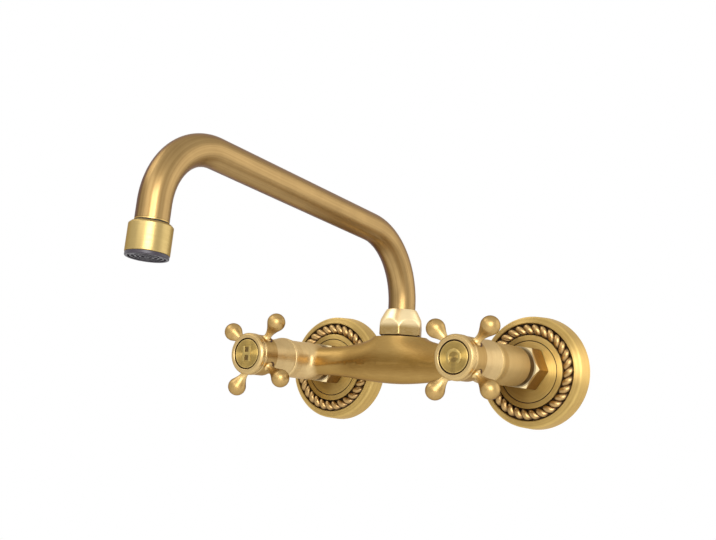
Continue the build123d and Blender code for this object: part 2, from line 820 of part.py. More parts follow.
def spout_nut():
    flat_r = spout_nut_across_flats / 2
    corner_r = spout_nut_across_flats / math.sqrt(3)
    dome_start = spout_nut_bottom + spout_nut_flats
    hole = tube_r + spout_nut_hole_gap
    thread = spigot_thread_r + thread_gap
    top = (hole + free_gap, spout_nut_top)
    dome = ThreePointArc((corner_r, dome_start), (flat_r, spout_nut_bottom + spout_nut_arch), top)
    rest = Polyline(
        top, (hole, spout_nut_top - free_gap), (hole, spout_nut_roof), (thread, spout_nut_roof),
        (thread, spout_nut_bottom), (corner_r - edge_break, spout_nut_bottom),
        (corner_r, spout_nut_bottom + edge_break), (corner_r, dome_start),
    )
    shape = revolve(Plane.XZ * make_face([dome, rest]), Axis.Z)
    prism = extrude(hexagon(spout_nut_across_flats), spout_nut_top - spout_nut_bottom)
    return Rot(0, 0, spout_nut_turn) * (shape & Pos(0, 0, spout_nut_bottom) * prism)


def spout_tail():
    body_r = spigot_bore_r - running_gap
    bore_r = spigot_bore_r - running_gap - tail_wall
    plug_end = collar_top + tail_plug
    tail = upright(
        (bore_r, tail_bottom), (body_r, tail_bottom, 0.5), (body_r, collar_bottom),
        (tail_collar_r, collar_bottom), (tail_collar_r, collar_top), (plug_r, collar_top),
        (plug_r, plug_end, edge_break), (bore_r, plug_end),
    )
    groove_r = spigot_bore_r - 2 * tail_ring_section_r - 2 * seal_gap
    half_groove = tail_ring_section_r + ring_groove_extra
    for place in tail_ring_places:
        middle = tail_bottom + place
        tail -= tube_about_z(groove_r, body_r + 1, middle - half_groove, middle + half_groove)
    return tail


def spout_o_rings():
    ring = Torus(spigot_bore_r - seal_gap - tail_ring_section_r, tail_ring_section_r)
    return [Pos(0, 0, tail_bottom + place) * ring for place in tail_ring_places]


def slip_ring():
    inner = tube_r + free_gap
    outer = spigot_thread_r - free_gap
    bottom = collar_top + running_gap
    return tube_about_z(inner, outer, bottom, spout_nut_roof)


def spout_route():
    """The tube's centre line, in the vertical plane through the swivel axis."""
    slope = math.radians(run_slope)
    lean = math.radians(drop_lean)
    far_out = -run_length * math.cos(slope)
    far_up = riser_corner + run_length * math.sin(slope)
    return FilletPolyline(
        (0, 0, collar_top), (0, 0, riser_corner), (0, far_out, far_up),
        (0, far_out - drop_length * math.sin(lean), far_up - drop_length * math.cos(lean)),
        radius=[riser_bend_r, drop_bend_r],
    )


def spout_tube():
    route = spout_route()
    start = Plane(origin=route @ 0, z_dir=route % 0)
    return sweep(start * (Circle(tube_r) - Circle(tube_bore_r)), route)


def at_outlet(piece):
    """Puts a piece made about the vertical axis, its top at zero, on the tube's end."""
    end = spout_route() @ 1
    return at_spout(Pos(*end) * Rot(-drop_lean, 0, 0) * piece)


# Outlet and aerator, made upright with the tube's end at zero and the water running down

def outlet_ferrule():
    thread_start = ferrule_collar_start + face_gap
    return upright(
        (ferrule_bore_r, ferrule_plug), (plug_r, ferrule_plug, edge_break), (plug_r, 0),
        (tube_r, 0), (tube_r, -ferrule_rim), (ferrule_neck_r, -ferrule_rim),
        (ferrule_neck_r, -ferrule_collar_start), (outlet_thread_r, -thread_start),
        (outlet_thread_r, -outlet_thread_end), (ferrule_bore_r, -outlet_thread_end),
    )


def aerator_gasket():
    ring = Torus(ferrule_neck_r + outlet_ring_section_r + seal_gap, outlet_ring_section_r)
    return Pos(0, 0, -ferrule_rim - ferrule_gap / 2) * ring


def aerator_housing():
    return upright(
        (housing_bore_r, -housing_top), (housing_r - housing_top_chamfer, -housing_top, 0.05),
        (housing_r, -housing_top - housing_top_chamfer, edge_break), (housing_r, -housing_end, 0.3),
        (housing_bore_r, -housing_end),
    )


def aerator_washer():
    return tube_about_z(ferrule_bore_r, outlet_thread_r - face_gap, -washer_end, -outlet_thread_end)


def aerator_screen():
    screen = tube_about_z(0, outlet_thread_r - free_gap, -screen_end, -washer_end)
    hole = Pos(0, 0, -screen_end) * Cylinder(screen_hole_r, 3 * aerator_screen_thickness)
    screen -= hole
    for row in range(1, screen_rows + 1):
        for place in PolarLocations(row * screen_hole_pitch, 6 * row):
            screen -= place * hole
    return screen


def aerator_insert():
    """The dark cartridge screwed up into the sleeve, its face a set of rings with slots between."""
    inner = outlet_thread_r - insert_wall
    floor = insert_face - insert_floor
    insert = upright(
        (inner, -screen_end), (outlet_thread_r, -screen_end), (outlet_thread_r, -insert_rim_start),
        (insert_rim_r, -insert_rim_start, 0.2), (insert_rim_r, -insert_end, 0.6),
        (insert_rim_inner_r, -insert_end, 0.3), (insert_rim_inner_r, -insert_face),
        (0, -insert_face), (0, -floor), (inner, -floor),
    )
    pitch = insert_rim_inner_r / insert_ring_count
    ring_top = -insert_face + face_gap
    ring_bottom = -insert_face - insert_ring_height
    hole = Pos(0, 0, -insert_face) * Cylinder(insert_hole_r, 3 * insert_floor)
    for row in range(insert_ring_count):
        outer = pitch * row + insert_hole_r + face_gap + insert_ring_width
        insert += tube_about_z(outer - insert_ring_width, outer, ring_bottom, ring_top)
    for row in range(1, insert_ring_count):
        for place in PolarLocations(pitch * row, 6 * row):
            insert -= place * hole
    return insert


# Every piece in its place

pieces = {"body": body()}
for side, name in ((-1, "left"), (1, "right")):
    letter = letter_h() if side < 0 else letter_c()
    rings = [at_valve(ring, side) for ring in spindle_o_rings()]
    pieces[f"wall_flange_{name}"] = at_wall_pipe(wall_flange(), side)
    pieces[f"eccentric_{name}"] = at_wall_pipe(eccentric(), side)
    pieces[f"union_nut_{name}"] = at_valve(union_nut(), side)
    pieces[f"union_washer_{name}"] = at_valve(union_washer(), side)
    pieces[f"inlet_nipple_{name}"] = at_valve(inlet_nipple(), side)
    pieces[f"valve_bonnet_{name}"] = clocked(valve_bonnet(), side)
    pieces[f"disc_fixed_{name}"] = clocked(disc_fixed(), side)
    pieces[f"seat_seal_{name}"] = at_valve(seat_seal(), side)
    pieces[f"bonnet_seal_{name}"] = at_valve(bonnet_seal(), side)
    pieces[f"bonnet_shroud_{name}"] = at_valve(bonnet_shroud(), side)
    pieces[f"valve_spindle_{name}"] = clocked(valve_spindle(), side)
    pieces[f"disc_moving_{name}"] = clocked(disc_moving(), side)
    pieces[f"spindle_o_rings_{name}"] = Compound(children=rings)
    pieces[f"spindle_clip_{name}"] = clocked(spindle_clip(), side)
    pieces[f"cross_handle_{name}"] = clocked(cross_handle(), side)
    pieces[f"handle_screw_{name}"] = at_valve(handle_screw(), side)
    pieces[f"index_cap_{name}"] = at_valve(index_cap(letter), side)

pieces["spout_nut"] = at_spout(spout_nut())
pieces["spout_tail"] = at_spout(spout_tail())
pieces["spout_o_rings"] = Compound(children=[at_spout(ring) for ring in spout_o_rings()])
pieces["slip_ring"] = at_spout(slip_ring())
pieces["spout_tube"] = at_spout(spout_tube())
pieces["outlet_ferrule"] = at_outlet(outlet_ferrule())
pieces["aerator_gasket"] = at_outlet(aerator_gasket())
pieces["aerator_housing"] = at_outlet(aerator_housing())
pieces["aerator_washer"] = at_outlet(aerator_washer())
pieces["aerator_screen"] = at_outlet(aerator_screen())
pieces["aerator_insert"] = at_outlet(aerator_insert())

for name, piece in pieces.items():
    export_step(piece, f"parts/{name}.step")
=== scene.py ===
import json
import math

import bmesh
import bpy
import numpy as np
from mathutils import Matrix, Vector


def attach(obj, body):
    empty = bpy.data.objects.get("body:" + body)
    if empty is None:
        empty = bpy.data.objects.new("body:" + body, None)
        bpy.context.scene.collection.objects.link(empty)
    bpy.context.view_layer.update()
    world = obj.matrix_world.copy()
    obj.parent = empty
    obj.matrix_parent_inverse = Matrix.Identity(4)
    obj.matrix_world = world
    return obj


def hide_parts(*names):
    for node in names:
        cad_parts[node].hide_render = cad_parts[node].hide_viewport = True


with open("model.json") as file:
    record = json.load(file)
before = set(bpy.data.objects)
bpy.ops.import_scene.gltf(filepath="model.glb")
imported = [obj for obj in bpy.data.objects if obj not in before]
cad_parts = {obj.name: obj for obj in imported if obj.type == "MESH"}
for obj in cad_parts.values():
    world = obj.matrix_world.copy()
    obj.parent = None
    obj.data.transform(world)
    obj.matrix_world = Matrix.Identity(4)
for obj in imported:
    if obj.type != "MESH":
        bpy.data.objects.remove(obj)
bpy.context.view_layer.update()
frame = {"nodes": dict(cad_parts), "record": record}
nodes = frame["nodes"]

# Sizes are in millimetres and are scaled once, where a mesh is made.
MM = 0.001

# Where the faucet's axes lie: the valves' left and right of the middle, the spout's out from the wall
VALVE_X = 75.0
BODY_RISE = 2.0
SPOUT_DEPTH = 44.3
# The bores of the visible brass pieces that the threads behind them fill
BORE_R = 10.53
SIDES = {"left": -1, "right": 1}
HANDLE_BODY = {"left": "hot_handle", "right": "cold_handle"}
CAP_SIGN = {"left": "H", "right": "C"}
# How far each handle is turned on its axis at rest, in degrees
HANDLE_TURN = {"left": 9.9, "right": 2.6}


# Mesh making

# How much of an edge one rounding may take, where the edge's other end is rounded too and where it isn't
SHARED_EDGE, FREE_EDGE = 0.49, 0.99
# Points nearer to each other than this become one
WELD = 0.0005


def rounded(corners, steps=5):
    """A line through (across, along, rounding) corners, with each rounding drawn as an arc."""
    points = []
    last = len(corners) - 1
    for place, corner in enumerate(corners):
        here = np.array(corner[:2], float)
        radius = corner[2] if len(corner) > 2 else 0
        if radius == 0 or place in (0, last):
            points.append(here)
            continue
        before = np.array(corners[place - 1][:2], float) - here
        after = np.array(corners[place + 1][:2], float) - here
        reaches = np.linalg.norm(before), np.linalg.norm(after)
        before, after = before / reaches[0], after / reaches[1]
        half = math.acos(max(-1, min(1, float(before @ after)))) / 2
        shares = [SHARED_EDGE if len(corners[beside]) > 2 else FREE_EDGE for beside in (place - 1, place + 1)]
        setback = min(radius / math.tan(half), shares[0] * reaches[0], shares[1] * reaches[1])
        radius = setback * math.tan(half)
        middle = here + (before + after) / np.linalg.norm(before + after) * radius / math.sin(half)
        start, end = here + before * setback - middle, here + after * setback - middle
        sweep = math.atan2(start[0] * end[1] - start[1] * end[0], start @ end)
        for step in range(steps + 1):
            turn = sweep * step / steps
            cos, sin = math.cos(turn), math.sin(turn)
            spoke = np.array([cos * start[0] - sin * start[1], sin * start[0] + cos * start[1]])
            points.append(middle + spoke)
    return points


def eased(start, start_way, end, end_way, steps=10):
    """Points of a smooth curve that leaves start and reaches end in the given directions."""
    start, end = np.array(start, float), np.array(end, float)
    reach = np.linalg.norm(end - start)
    start_pull, end_pull = np.array(start_way) * reach, np.array(end_way) * reach
    points = []
    for step in range(steps + 1):
        t = step / steps
        points.append((2 * t**3 - 3 * t**2 + 1) * start + (t**3 - 2 * t**2 + t) * start_pull
                      + (3 * t**2 - 2 * t**3) * end + (t**3 - t**2) * end_pull)
    return points


def grid_faces(rows, columns, close_rows=False, close_columns=True):
    """Four-sided faces over rows of points, closed round on themselves where asked."""
    faces = []
    for row in range(rows if close_rows else rows - 1):
        for column in range(columns if close_columns else columns - 1):
            below, beside = (row + 1) % rows, (column + 1) % columns
            faces.append((row * columns + column, row * columns + beside,
                          below * columns + beside, below * columns + column))
    return faces


def end_faces(rows, columns):
    """The two faces that close the first and the last of some rows of points."""
    return [tuple(reversed(range(columns))), tuple(range((rows - 1) * columns, rows * columns))]


def round_angles(segments):
    return np.arange(segments) * 2 * math.pi / segments


def lathe(line, segments=96, close=False):
    """Points and faces of a line of (radius, along) turned about Z; a closed line makes a ring."""
    line = np.asarray(line, float)
    angles = round_angles(segments)
    ring = np.stack([np.cos(angles), np.sin(angles)], 1)
    points = [np.column_stack([ring * radius, np.full(segments, along)]) for radius, along in line]
    return np.concatenate(points), grid_faces(len(line), segments, close)


def joined(*shapes):
    """Several (points, faces) shapes as one."""
    points, faces, start = [], [], 0
    for shape_points, shape_faces in shapes:
        points.append(np.asarray(shape_points, float))
        faces += [tuple(start + corner for corner in face) for face in shape_faces]
        start += len(shape_points)
    return np.concatenate(points), faces


def placed(shape, place):
    """A shape moved to a place."""
    points, faces = shape
    turn = np.array(place.to_3x3())
    return np.asarray(points, float) @ turn.T + np.array(place.translation), faces


def turning(degrees, axis="Z"):
    return Matrix.Rotation(math.radians(degrees), 4, axis)


def valve_place(side, rise=BODY_RISE):
    """Turns a shape made about +Z, measured out from the wall, on to a valve's axis."""
    return Matrix.Translation((side * VALVE_X, 0, rise)) @ turning(90, "X")


def spout_place():
    """Moves a shape made about +Z on to the spout's swivel axis."""
    return Matrix.Translation((0, -SPOUT_DEPTH, 0))


def add_piece(name, shapes, place=None, sharp=35, uv=None):
    """A mesh object from (points, faces) shapes in millimetres; each shape has a material of its own."""
    points, faces = joined(*shapes)
    mesh = bpy.data.meshes.new(name)
    mesh.from_pydata((points * MM).tolist(), [], faces)
    marks = np.repeat(range(len(shapes)), [len(shape_faces) for _, shape_faces in shapes])
    mesh.polygons.foreach_set("material_index", marks.astype(np.int32))
    if uv is not None:
        layer = mesh.uv_layers.new(name="along")
        for loop in mesh.loops:
            layer.data[loop.index].uv = uv[loop.vertex_index]
    else:
        shape = bmesh.new()
        shape.from_mesh(mesh)
        bmesh.ops.remove_doubles(shape, verts=shape.verts, dist=WELD * MM)
        bmesh.ops.recalc_face_normals(shape, faces=shape.faces)
        shape.to_mesh(mesh)
        shape.free()
    mesh.shade_smooth()
    if sharp:
        mesh.set_sharp_from_angle(angle=math.radians(sharp))
    piece = bpy.data.objects.new(name, mesh)
    bpy.context.scene.collection.objects.link(piece)
    if place is not None:
        moved = place.copy()
        moved.translation *= MM
        piece.matrix_world = moved
    return piece


def paint(piece, *finishes):
    """Gives a piece its finishes, one to each of its shapes."""
    # Clearing the old finishes would lose which face has which, so that is read first and put back.
    faces = piece.data.polygons
    marks = np.empty(len(faces), np.int32)
    faces.foreach_get("material_index", marks)
    piece.data.materials.clear()
    for finish in finishes:
        piece.data.materials.append(finish)
    faces.foreach_set("material_index", np.minimum(marks, len(finishes) - 1))


def stands_for(piece, node, body, slot, *finishes):
    """Puts a piece in a part's place: it hides the part, moves with its body and takes the finishes given."""
    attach(piece, body)
    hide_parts(node)
    paint(piece, *finishes)


# Finishes

class Field:
    """A value or colour on its way through some wiring. Arithmetic on it adds the nodes."""

    def __init__(self, wiring, socket):
        self.wiring = wiring
        self.socket = socket

    def maths(self, operation, *values):
        return self.wiring.node("ShaderNodeMath", {"operation": operation}, values)

    def __add__(self, other):
        return self.maths("ADD", self, other)

    def __sub__(self, other):
        return self.maths("SUBTRACT", self, other)

    def __rsub__(self, other):
        return self.maths("SUBTRACT", other, self)

    def __mul__(self, other):
        return self.maths("MULTIPLY", self, other)

    def __truediv__(self, other):
        return self.maths("DIVIDE", self, other)

    def __rtruediv__(self, other):
        return self.maths("DIVIDE", other, self)

    def __abs__(self):
        return self.maths("ABSOLUTE", self)

    __radd__ = __add__
    __rmul__ = __mul__

    def root(self):
        return self.maths("SQRT", self)

    def cosine(self):
        return self.maths("COSINE", self)

    def sine(self):
        return self.maths("SINE", self)

    def larger(self, other):
        return self.maths("MAXIMUM", self, other)

    def clamped(self):
        return self.wiring.node("ShaderNodeClamp", {}, [self])

    def between(self, low, high):
        """Nought at low, one at high, eased at both ends; low may be the larger."""
        sockets = {"Value": self, "From Min": low, "From Max": high}
        return self.wiring.node("ShaderNodeMapRange", {"interpolation_type": "SMOOTHSTEP"}, sockets)


class Wiring:
    """A tree of shader nodes being filled."""

    def __init__(self, tree):
        self.tree = tree

    def node(self, kind, settings, sockets=(), output=0):
        """A node of a kind: its settings first, then its sockets, in order or keyed by name or place."""
        node = self.tree.nodes.new(kind)
        for key, value in settings.items():
            setattr(node, key, value)
        for key, value in (sockets.items() if isinstance(sockets, dict) else enumerate(sockets)):
            self.feed(node.inputs[key], value)
        return node if output is None else Field(self, node.outputs[output])

    def feed(self, socket, value):
        if isinstance(value, Field):
            self.tree.links.new(value.socket, socket)
        elif socket.type == "RGBA" and len(value) == 3:
            socket.default_value = (*value, 1)
        else:
            socket.default_value = value

    def split(self, vector):
        node = self.node("ShaderNodeSeparateXYZ", {}, [vector], output=None)
        return [Field(self, socket) for socket in node.outputs]

    def vector(self, x, y, z):
        return self.node("ShaderNodeCombineXYZ", {}, [x, y, z])

    def noise(self, vector, scale, detail=2.0, roughness=0.5):
        sockets = {"Vector": vector, "Scale": scale, "Detail": detail, "Roughness": roughness}
        return self.node("ShaderNodeTexNoise", {}, sockets)

    def mix(self, factor, first, second):
        """From the first colour to the second as the factor goes from nought to one."""
        return self.node("ShaderNodeMix", {"data_type": "RGBA"}, {0: factor, 6: first, 7: second}, output=2)

    def looking(self):
        """One for rays that look, straight or by way of metal or glass; nought for those that carry light."""
        rays = self.node("ShaderNodeLightPath", {}, output=None)
        camera, glossy, through = [Field(self, rays.outputs[f"Is {kind} Ray"])
                                   for kind in ("Camera", "Glossy", "Transmission")]
        return camera.larger(glossy).larger(through)


class Finish(Wiring):
    """A material being made, with its shader and each point's place on the piece in millimetres."""

    def __init__(self, name, **shader):
        self.material = bpy.data.materials.new(name)
        self.material.use_nodes = True
        super().__init__(self.material.node_tree)
        self.shader = self.tree.nodes["Principled BSDF"]
        self.set(**shader)
        place = self.node("ShaderNodeTexCoord", {}, output="Object")
        self.place = self.node("ShaderNodeVectorMath", {"operation": "MULTIPLY"}, [place, (1 / MM,) * 3])
        self.x, self.y, self.z = self.split(self.place)

    def set(self, **sockets):
        """Feeds the shader; an underscore in a name stands for the socket's space."""
        for key, value in sockets.items():
            self.feed(self.shader.inputs[key.replace("_", " ")], value)

    def bump(self, height, strength, reach):
        sockets = {"Strength": strength, "Distance": reach * MM, "Height": height}
        self.set(Normal=self.node("ShaderNodeBump", {}, sockets))

    def polar(self, across, up, least):
        """(distance from an axis, and the two turning coordinates); the least keeps it above nought."""
        radius = (across * across + up * up + least).root()
        return radius, across / radius, up / radius

    def round_z(self):
        """Round the piece's own Z axis."""
        return self.polar(self.x, self.y, 0.001)

    def round_valve(self):
        """Round the nearer valve's axis, for a piece that spans both."""
        return self.polar(abs(self.x) - VALVE_X, self.z - BODY_RISE, 0.01)


EDGE_TINT = (0.50, 0.36, 0.22)
DARK_EDGE_TINT = (0.30, 0.20, 0.11)
# Nearly black: painted shade in gaps, grooves and hollows, and dark toning inside the cap's letters
SHADE_AND_TONING_COLOUR = (0.055, 0.024, 0.008)
LACQUER_ROUGHNESS = 0.34
# A quarter turn lays the brushed marks round the axis and fans the light out over flat ends.
BRUSHED_TURN = 0.25
CLOUD_SCALE = 0.06
LINES_PER_MM = 2.4
LINE_DEPTH = 0.05


def brass(name, brushed=0.0, edge=EDGE_TINT, lacquer=0.3):
    """A lacquered brass whose grazing reflections darken, brushed round its axis where asked."""
    return Finish(name, Metallic=1.0, Specular_Tint=edge, Anisotropic=brushed,
                  Anisotropic_Rotation=BRUSHED_TURN, Coat_Weight=lacquer, Coat_Roughness=LACQUER_ROUGHNESS)


def tone(finish, lines, light, dark, rough, patches=0.4, contrast=0.6, painted_light=None, shade_and_toning=None):
    """Colour, roughness and relief from brushed lines, patches of toning, painted highlights and shade, and
    near-black shade and toning.
    """
    cloud = finish.noise(finish.place, CLOUD_SCALE, 3.0, 0.55)
    amount = 0.5 + (lines - 0.5) * contrast + (cloud - 0.5) * patches
    # Painted highlights and painted shade
    if painted_light is not None:
        amount = amount + painted_light
    colour = finish.mix(amount.clamped(), dark, light)
    # Nearly black painted shade, and dark toning inside a letter
    if shade_and_toning is not None:
        colour = finish.mix(shade_and_toning.clamped(), colour, SHADE_AND_TONING_COLOUR)
    finish.set(Base_Color=colour)
    finish.set(Roughness=(rough + (0.5 - lines) * 0.2 + (0.5 - cloud) * 0.1).clamped())
    finish.bump(lines, 0.5, LINE_DEPTH)
    return finish.material


def ring_lines(finish):
    """Fine marks that run round the piece's own axis."""
    radius, cos, sin = finish.round_z()
    where = finish.vector(cos + radius * LINES_PER_MM, finish.z * LINES_PER_MM, sin)
    return finish.noise(where, 1.0, 4.0, 0.65)


def turned_finish(name, light, dark, rough, brushed=0.0, edge=EDGE_TINT, contrast=0.6, painted_light=None, shade_and_toning=None):
    """A toned brass for a turned piece; the masks given add its painted highlights and shade, and its
    near-black painted shade and toning.
    """
    finish = brass(name, brushed, edge)
    painted_light, shade_and_toning = [place(finish) if place else None for place in (painted_light, shade_and_toning)]
    return tone(finish, ring_lines(finish), light, dark, rough, contrast=contrast, painted_light=painted_light, shade_and_toning=shade_and_toning)


def plain_finish(name, colour, rough, metallic=0.0):
    """A simple moulded or drawn surface with a faint grain."""
    finish = Finish(name, Metallic=metallic)
    grit = finish.noise(finish.place, 1.5, 3.0, 0.6)
    darker = tuple(channel * 0.7 for channel in colour)
    finish.set(Base_Color=finish.mix(grit, darker, colour))
    finish.set(Roughness=(rough + (grit - 0.5) * 0.16).clamped())
    finish.bump(grit, 0.2, 0.03)
    return finish.material


# Body: the outside is one smooth skin over bridge, boss and valve cylinders

CYLINDER_R = 12.1
CYLINDER_BACK = 34.5
CYLINDER_FRONT = 69.6
TAIL_BORE_R = 8.38
FLARE_START = 61.0
LIP_R = 13.0
LIP_BACK = 67.6
BOSS_R = 13.68
BOSS_TOP = 17.8
SEAT_R = 10.48
SEAT_TOP = 26.5
SWIVEL_BORE_R = 7.9
BRIDGE_END_R = 9.2
BRIDGE_MID_R = 13.48
BRIDGE_TAPER_HALF = 57.9
BRIDGE_LIFT = 3.6
BRIDGE_LIFT_HALF = 42.0
BRIDGE_SQUARENESS = 0.9
BOSS_FLARE = 11.0
BOSS_FLARE_HEIGHT = 10.0
BOSS_BLEND = 9.0
CYLINDER_BLEND = 4.6
SKIN_FRONT = 60.5
SKIN_VOXEL = 0.9
SKIN_PASSES = 12
# How far past its cuts the skin is still smoothed, and how far the rough shapes run on past them
CUT_MARGIN = 1.8
ROUGH_MARGIN = 3.0
ROUGH_SEGMENTS = 64
ROUGH_ROWS = 90


def body_finish():
    """Cylinders toned round their axes, paler on the left, and a darker brushed bridge between them, with
    painted shade across the bridge's middle and under the spout nut.
    """
    finish = brass("body_toned_and_painted_shade")
    radius, cos, sin = finish.round_valve()
    ring = finish.noise(finish.vector(cos, finish.y * 1.6, sin), 1.0, 4.0, 0.65)
    straight = finish.noise(finish.vector(finish.x * 0.03, finish.y * 2.2, finish.z * 2.2), 1.0, 3.0, 0.6)
    near = radius.between(18.0, 12.6)
    right = finish.x.between(-10.0, 10.0)
    light = finish.mix(near, (0.50, 0.32, 0.10), finish.mix(right, (0.80, 0.61, 0.32), (0.62, 0.45, 0.20)))
    dark = finish.mix(near, (0.20, 0.105, 0.015), finish.mix(right, (0.44, 0.29, 0.10), (0.30, 0.18, 0.045)))
    # Painted shade across the bridge at half its height, towards the middle
    painted_shade_band = abs(finish.z - BODY_RISE + 1.0).between(9.0, 2.0) * abs(finish.x).between(52.0, 28.0) * -0.45
    # Nearly black painted shade in the gap under the spout nut
    painted_shade_under_nut = finish.z.between(BOSS_TOP - 0.05, BOSS_TOP + 0.15)
    lines = ring * near + straight * (1 - near)
    return tone(finish, lines, light, dark, near * 0.1 + 0.38, 0.3, 0.4, painted_shade_band, painted_shade_under_nut)


def swell(distance, half):
    """One in the middle, easing to nought where the distance reaches half."""
    return np.where(np.abs(distance) < half, (1 + np.cos(np.pi * distance / half)) / 2, 0.0)


def soft_join(first, second, reach):
    """The lower of two levels, eased together where they are nearly alike."""
    ease = np.clip(reach - np.abs(first - second), 0, None)
    return np.minimum(first, second) - ease * ease / (4 * reach)


def bridge_half(x):
    """Half the bridge's thickness at a distance from the middle."""
    return BRIDGE_END_R + (BRIDGE_MID_R - BRIDGE_END_R) * swell(x, BRIDGE_TAPER_HALF)


def body_level(points):
    """Below zero inside the body's skin, above zero outside it, in about millimetres."""
    x, y, z = points[:, 0], points[:, 1] + SPOUT_DEPTH, points[:, 2] - BODY_RISE
    lift = swell(x, BRIDGE_LIFT_HALF)
    wide = bridge_half(x)
    tall = np.where(z > 0, wide + BRIDGE_LIFT * lift, wide)
    power = np.where(z > 0, 2 + BRIDGE_SQUARENESS * lift, 2.0)
    ratio = (np.abs(y / wide) ** power + np.abs(z / tall) ** power + 1e-12) ** (1 / power)
    bridge = np.maximum((ratio - 1) * wide, np.abs(x) - VALVE_X)
    drop = np.clip((BOSS_TOP - points[:, 2]) / BOSS_FLARE_HEIGHT, 0, 2)
    spread = BOSS_FLARE * drop ** 1.8
    boss = (np.sqrt((x / (BOSS_R + spread)) ** 2 + (y / BOSS_R) ** 2) - 1) * BOSS_R
    boss = np.maximum(boss, -z)
    level = soft_join(bridge, boss, BOSS_BLEND)
    cylinder = np.hypot(np.abs(x) - VALVE_X, z) - CYLINDER_R
    return soft_join(level, cylinder, CYLINDER_BLEND)


def level_slope(points, reach=0.02):
    """Which way the body's level rises at each point, and how steeply."""
    slope = np.empty_like(points)
    for axis in range(3):
        step = np.zeros(3)
        step[axis] = reach
        slope[:, axis] = (body_level(points + step) - body_level(points - step)) / (2 * reach)
    return slope


def rough_body():
    """Plain overlapping shapes inside the skin's reach, to be melted together."""
    back, front = CYLINDER_BACK - ROUGH_MARGIN, SKIN_FRONT + ROUGH_MARGIN
    cylinder = lathe([(0, back), (CYLINDER_R, back), (CYLINDER_R, front), (0, front)], ROUGH_SEGMENTS)
    top = BOSS_TOP + ROUGH_MARGIN
    boss = lathe([(0, 0), (BOSS_R, 0), (BOSS_R, top), (0, top)], ROUGH_SEGMENTS)
    rows = []
    angles = round_angles(ROUGH_SEGMENTS)
    for x in np.linspace(-VALVE_X, VALVE_X, ROUGH_ROWS):
        wide = float(bridge_half(x))
        tall = wide + BRIDGE_LIFT * float(swell(x, BRIDGE_LIFT_HALF))
        depths = wide * np.cos(angles) - SPOUT_DEPTH
        heights = np.where(np.sin(angles) > 0, tall, wide) * np.sin(angles) + BODY_RISE
        rows.append(np.column_stack([np.full(ROUGH_SEGMENTS, x), depths, heights]))
    faces = grid_faces(ROUGH_ROWS, ROUGH_SEGMENTS) + end_faces(ROUGH_ROWS, ROUGH_SEGMENTS)
    cylinders = [placed(cylinder, valve_place(side)) for side in SIDES.values()]
    return [*cylinders, (np.concatenate(rows), faces), placed(boss, spout_place())]


def cut_flat(shape, parts, place, normal):
    """Cuts away what lies beyond a plane and gives the parts that are left."""
    parts = [part for part in parts if part.is_valid]
    made = bmesh.ops.bisect_plane(shape, geom=parts, plane_co=Vector(place) * MM, plane_no=normal,
                                  clear_outer=True)
    return [part for part in dict.fromkeys([*parts, *made["geom"]]) if part.is_valid]


def parts_beyond(shape, x, side):
    """The faces whose middles lie further out than x on one side, with their edges and points."""
    parts = {}
    for face in shape.faces:
        if face.calc_center_median().x * side > x * MM:
            parts.update(dict.fromkeys([face, *face.edges, *face.verts]))
    return list(parts)


def melted_body():
    """The rough shapes as one closed mesh of small even faces."""
    rough = add_piece("rough", rough_body(), sharp=0)
    melt = rough.modifiers.new("melt", "REMESH")
    melt.mode, melt.voxel_size = "VOXEL", SKIN_VOXEL * MM
    graph = bpy.context.evaluated_depsgraph_get()
    mesh = bpy.data.meshes.new_from_object(rough.evaluated_get(graph))
    bpy.data.objects.remove(rough)
    return mesh


def smoothed(points):
    """Points moved on to the body's smooth skin, apart from those well past its cuts."""
    depth = -points[:, 1]
    moving = (depth > CYLINDER_BACK - CUT_MARGIN) & (depth < SKIN_FRONT + CUT_MARGIN)
    moving |= np.abs(points[:, 0]) < VALVE_X - CYLINDER_R - 2
    moving &= points[:, 2] < BOSS_TOP + CUT_MARGIN
    for _ in range(SKIN_PASSES):
        slope = level_slope(points)
        steep = np.sum(slope * slope, 1)
        move = slope * (body_level(points) / np.maximum(steep, 0.05))[:, None]
        points[moving] -= np.clip(move, -0.6, 0.6)[moving]
    return points


def body_skin():
    """The melted shapes' points, moved on to the smooth skin, then cut flat at its openings."""
    mesh = melted_body()
    points = np.empty(len(mesh.vertices) * 3)
    mesh.vertices.foreach_get("co", points)
    points = smoothed(points.reshape(-1, 3) / MM)
    mesh.vertices.foreach_set("co", (points * MM).ravel())
    shape = bmesh.new()
    shape.from_mesh(mesh)
    bpy.data.meshes.remove(mesh)
    cut_flat(shape, [*shape.verts, *shape.edges, *shape.faces], (0, 0, BOSS_TOP), (0, 0, 1))
    for side in SIDES.values():
        parts = parts_beyond(shape, VALVE_X - CYLINDER_R - 4, side)
        for depth, way in ((CYLINDER_BACK, 1), (SKIN_FRONT, -1)):
            parts = cut_flat(shape, parts, (0, -depth, 0), (0, way, 0))
    shape.verts.index_update()
    points = np.array([vert.co for vert in shape.verts]) / MM
    faces = [tuple(vert.index for vert in face.verts) for face in shape.faces]
    shape.free()
    return points, faces


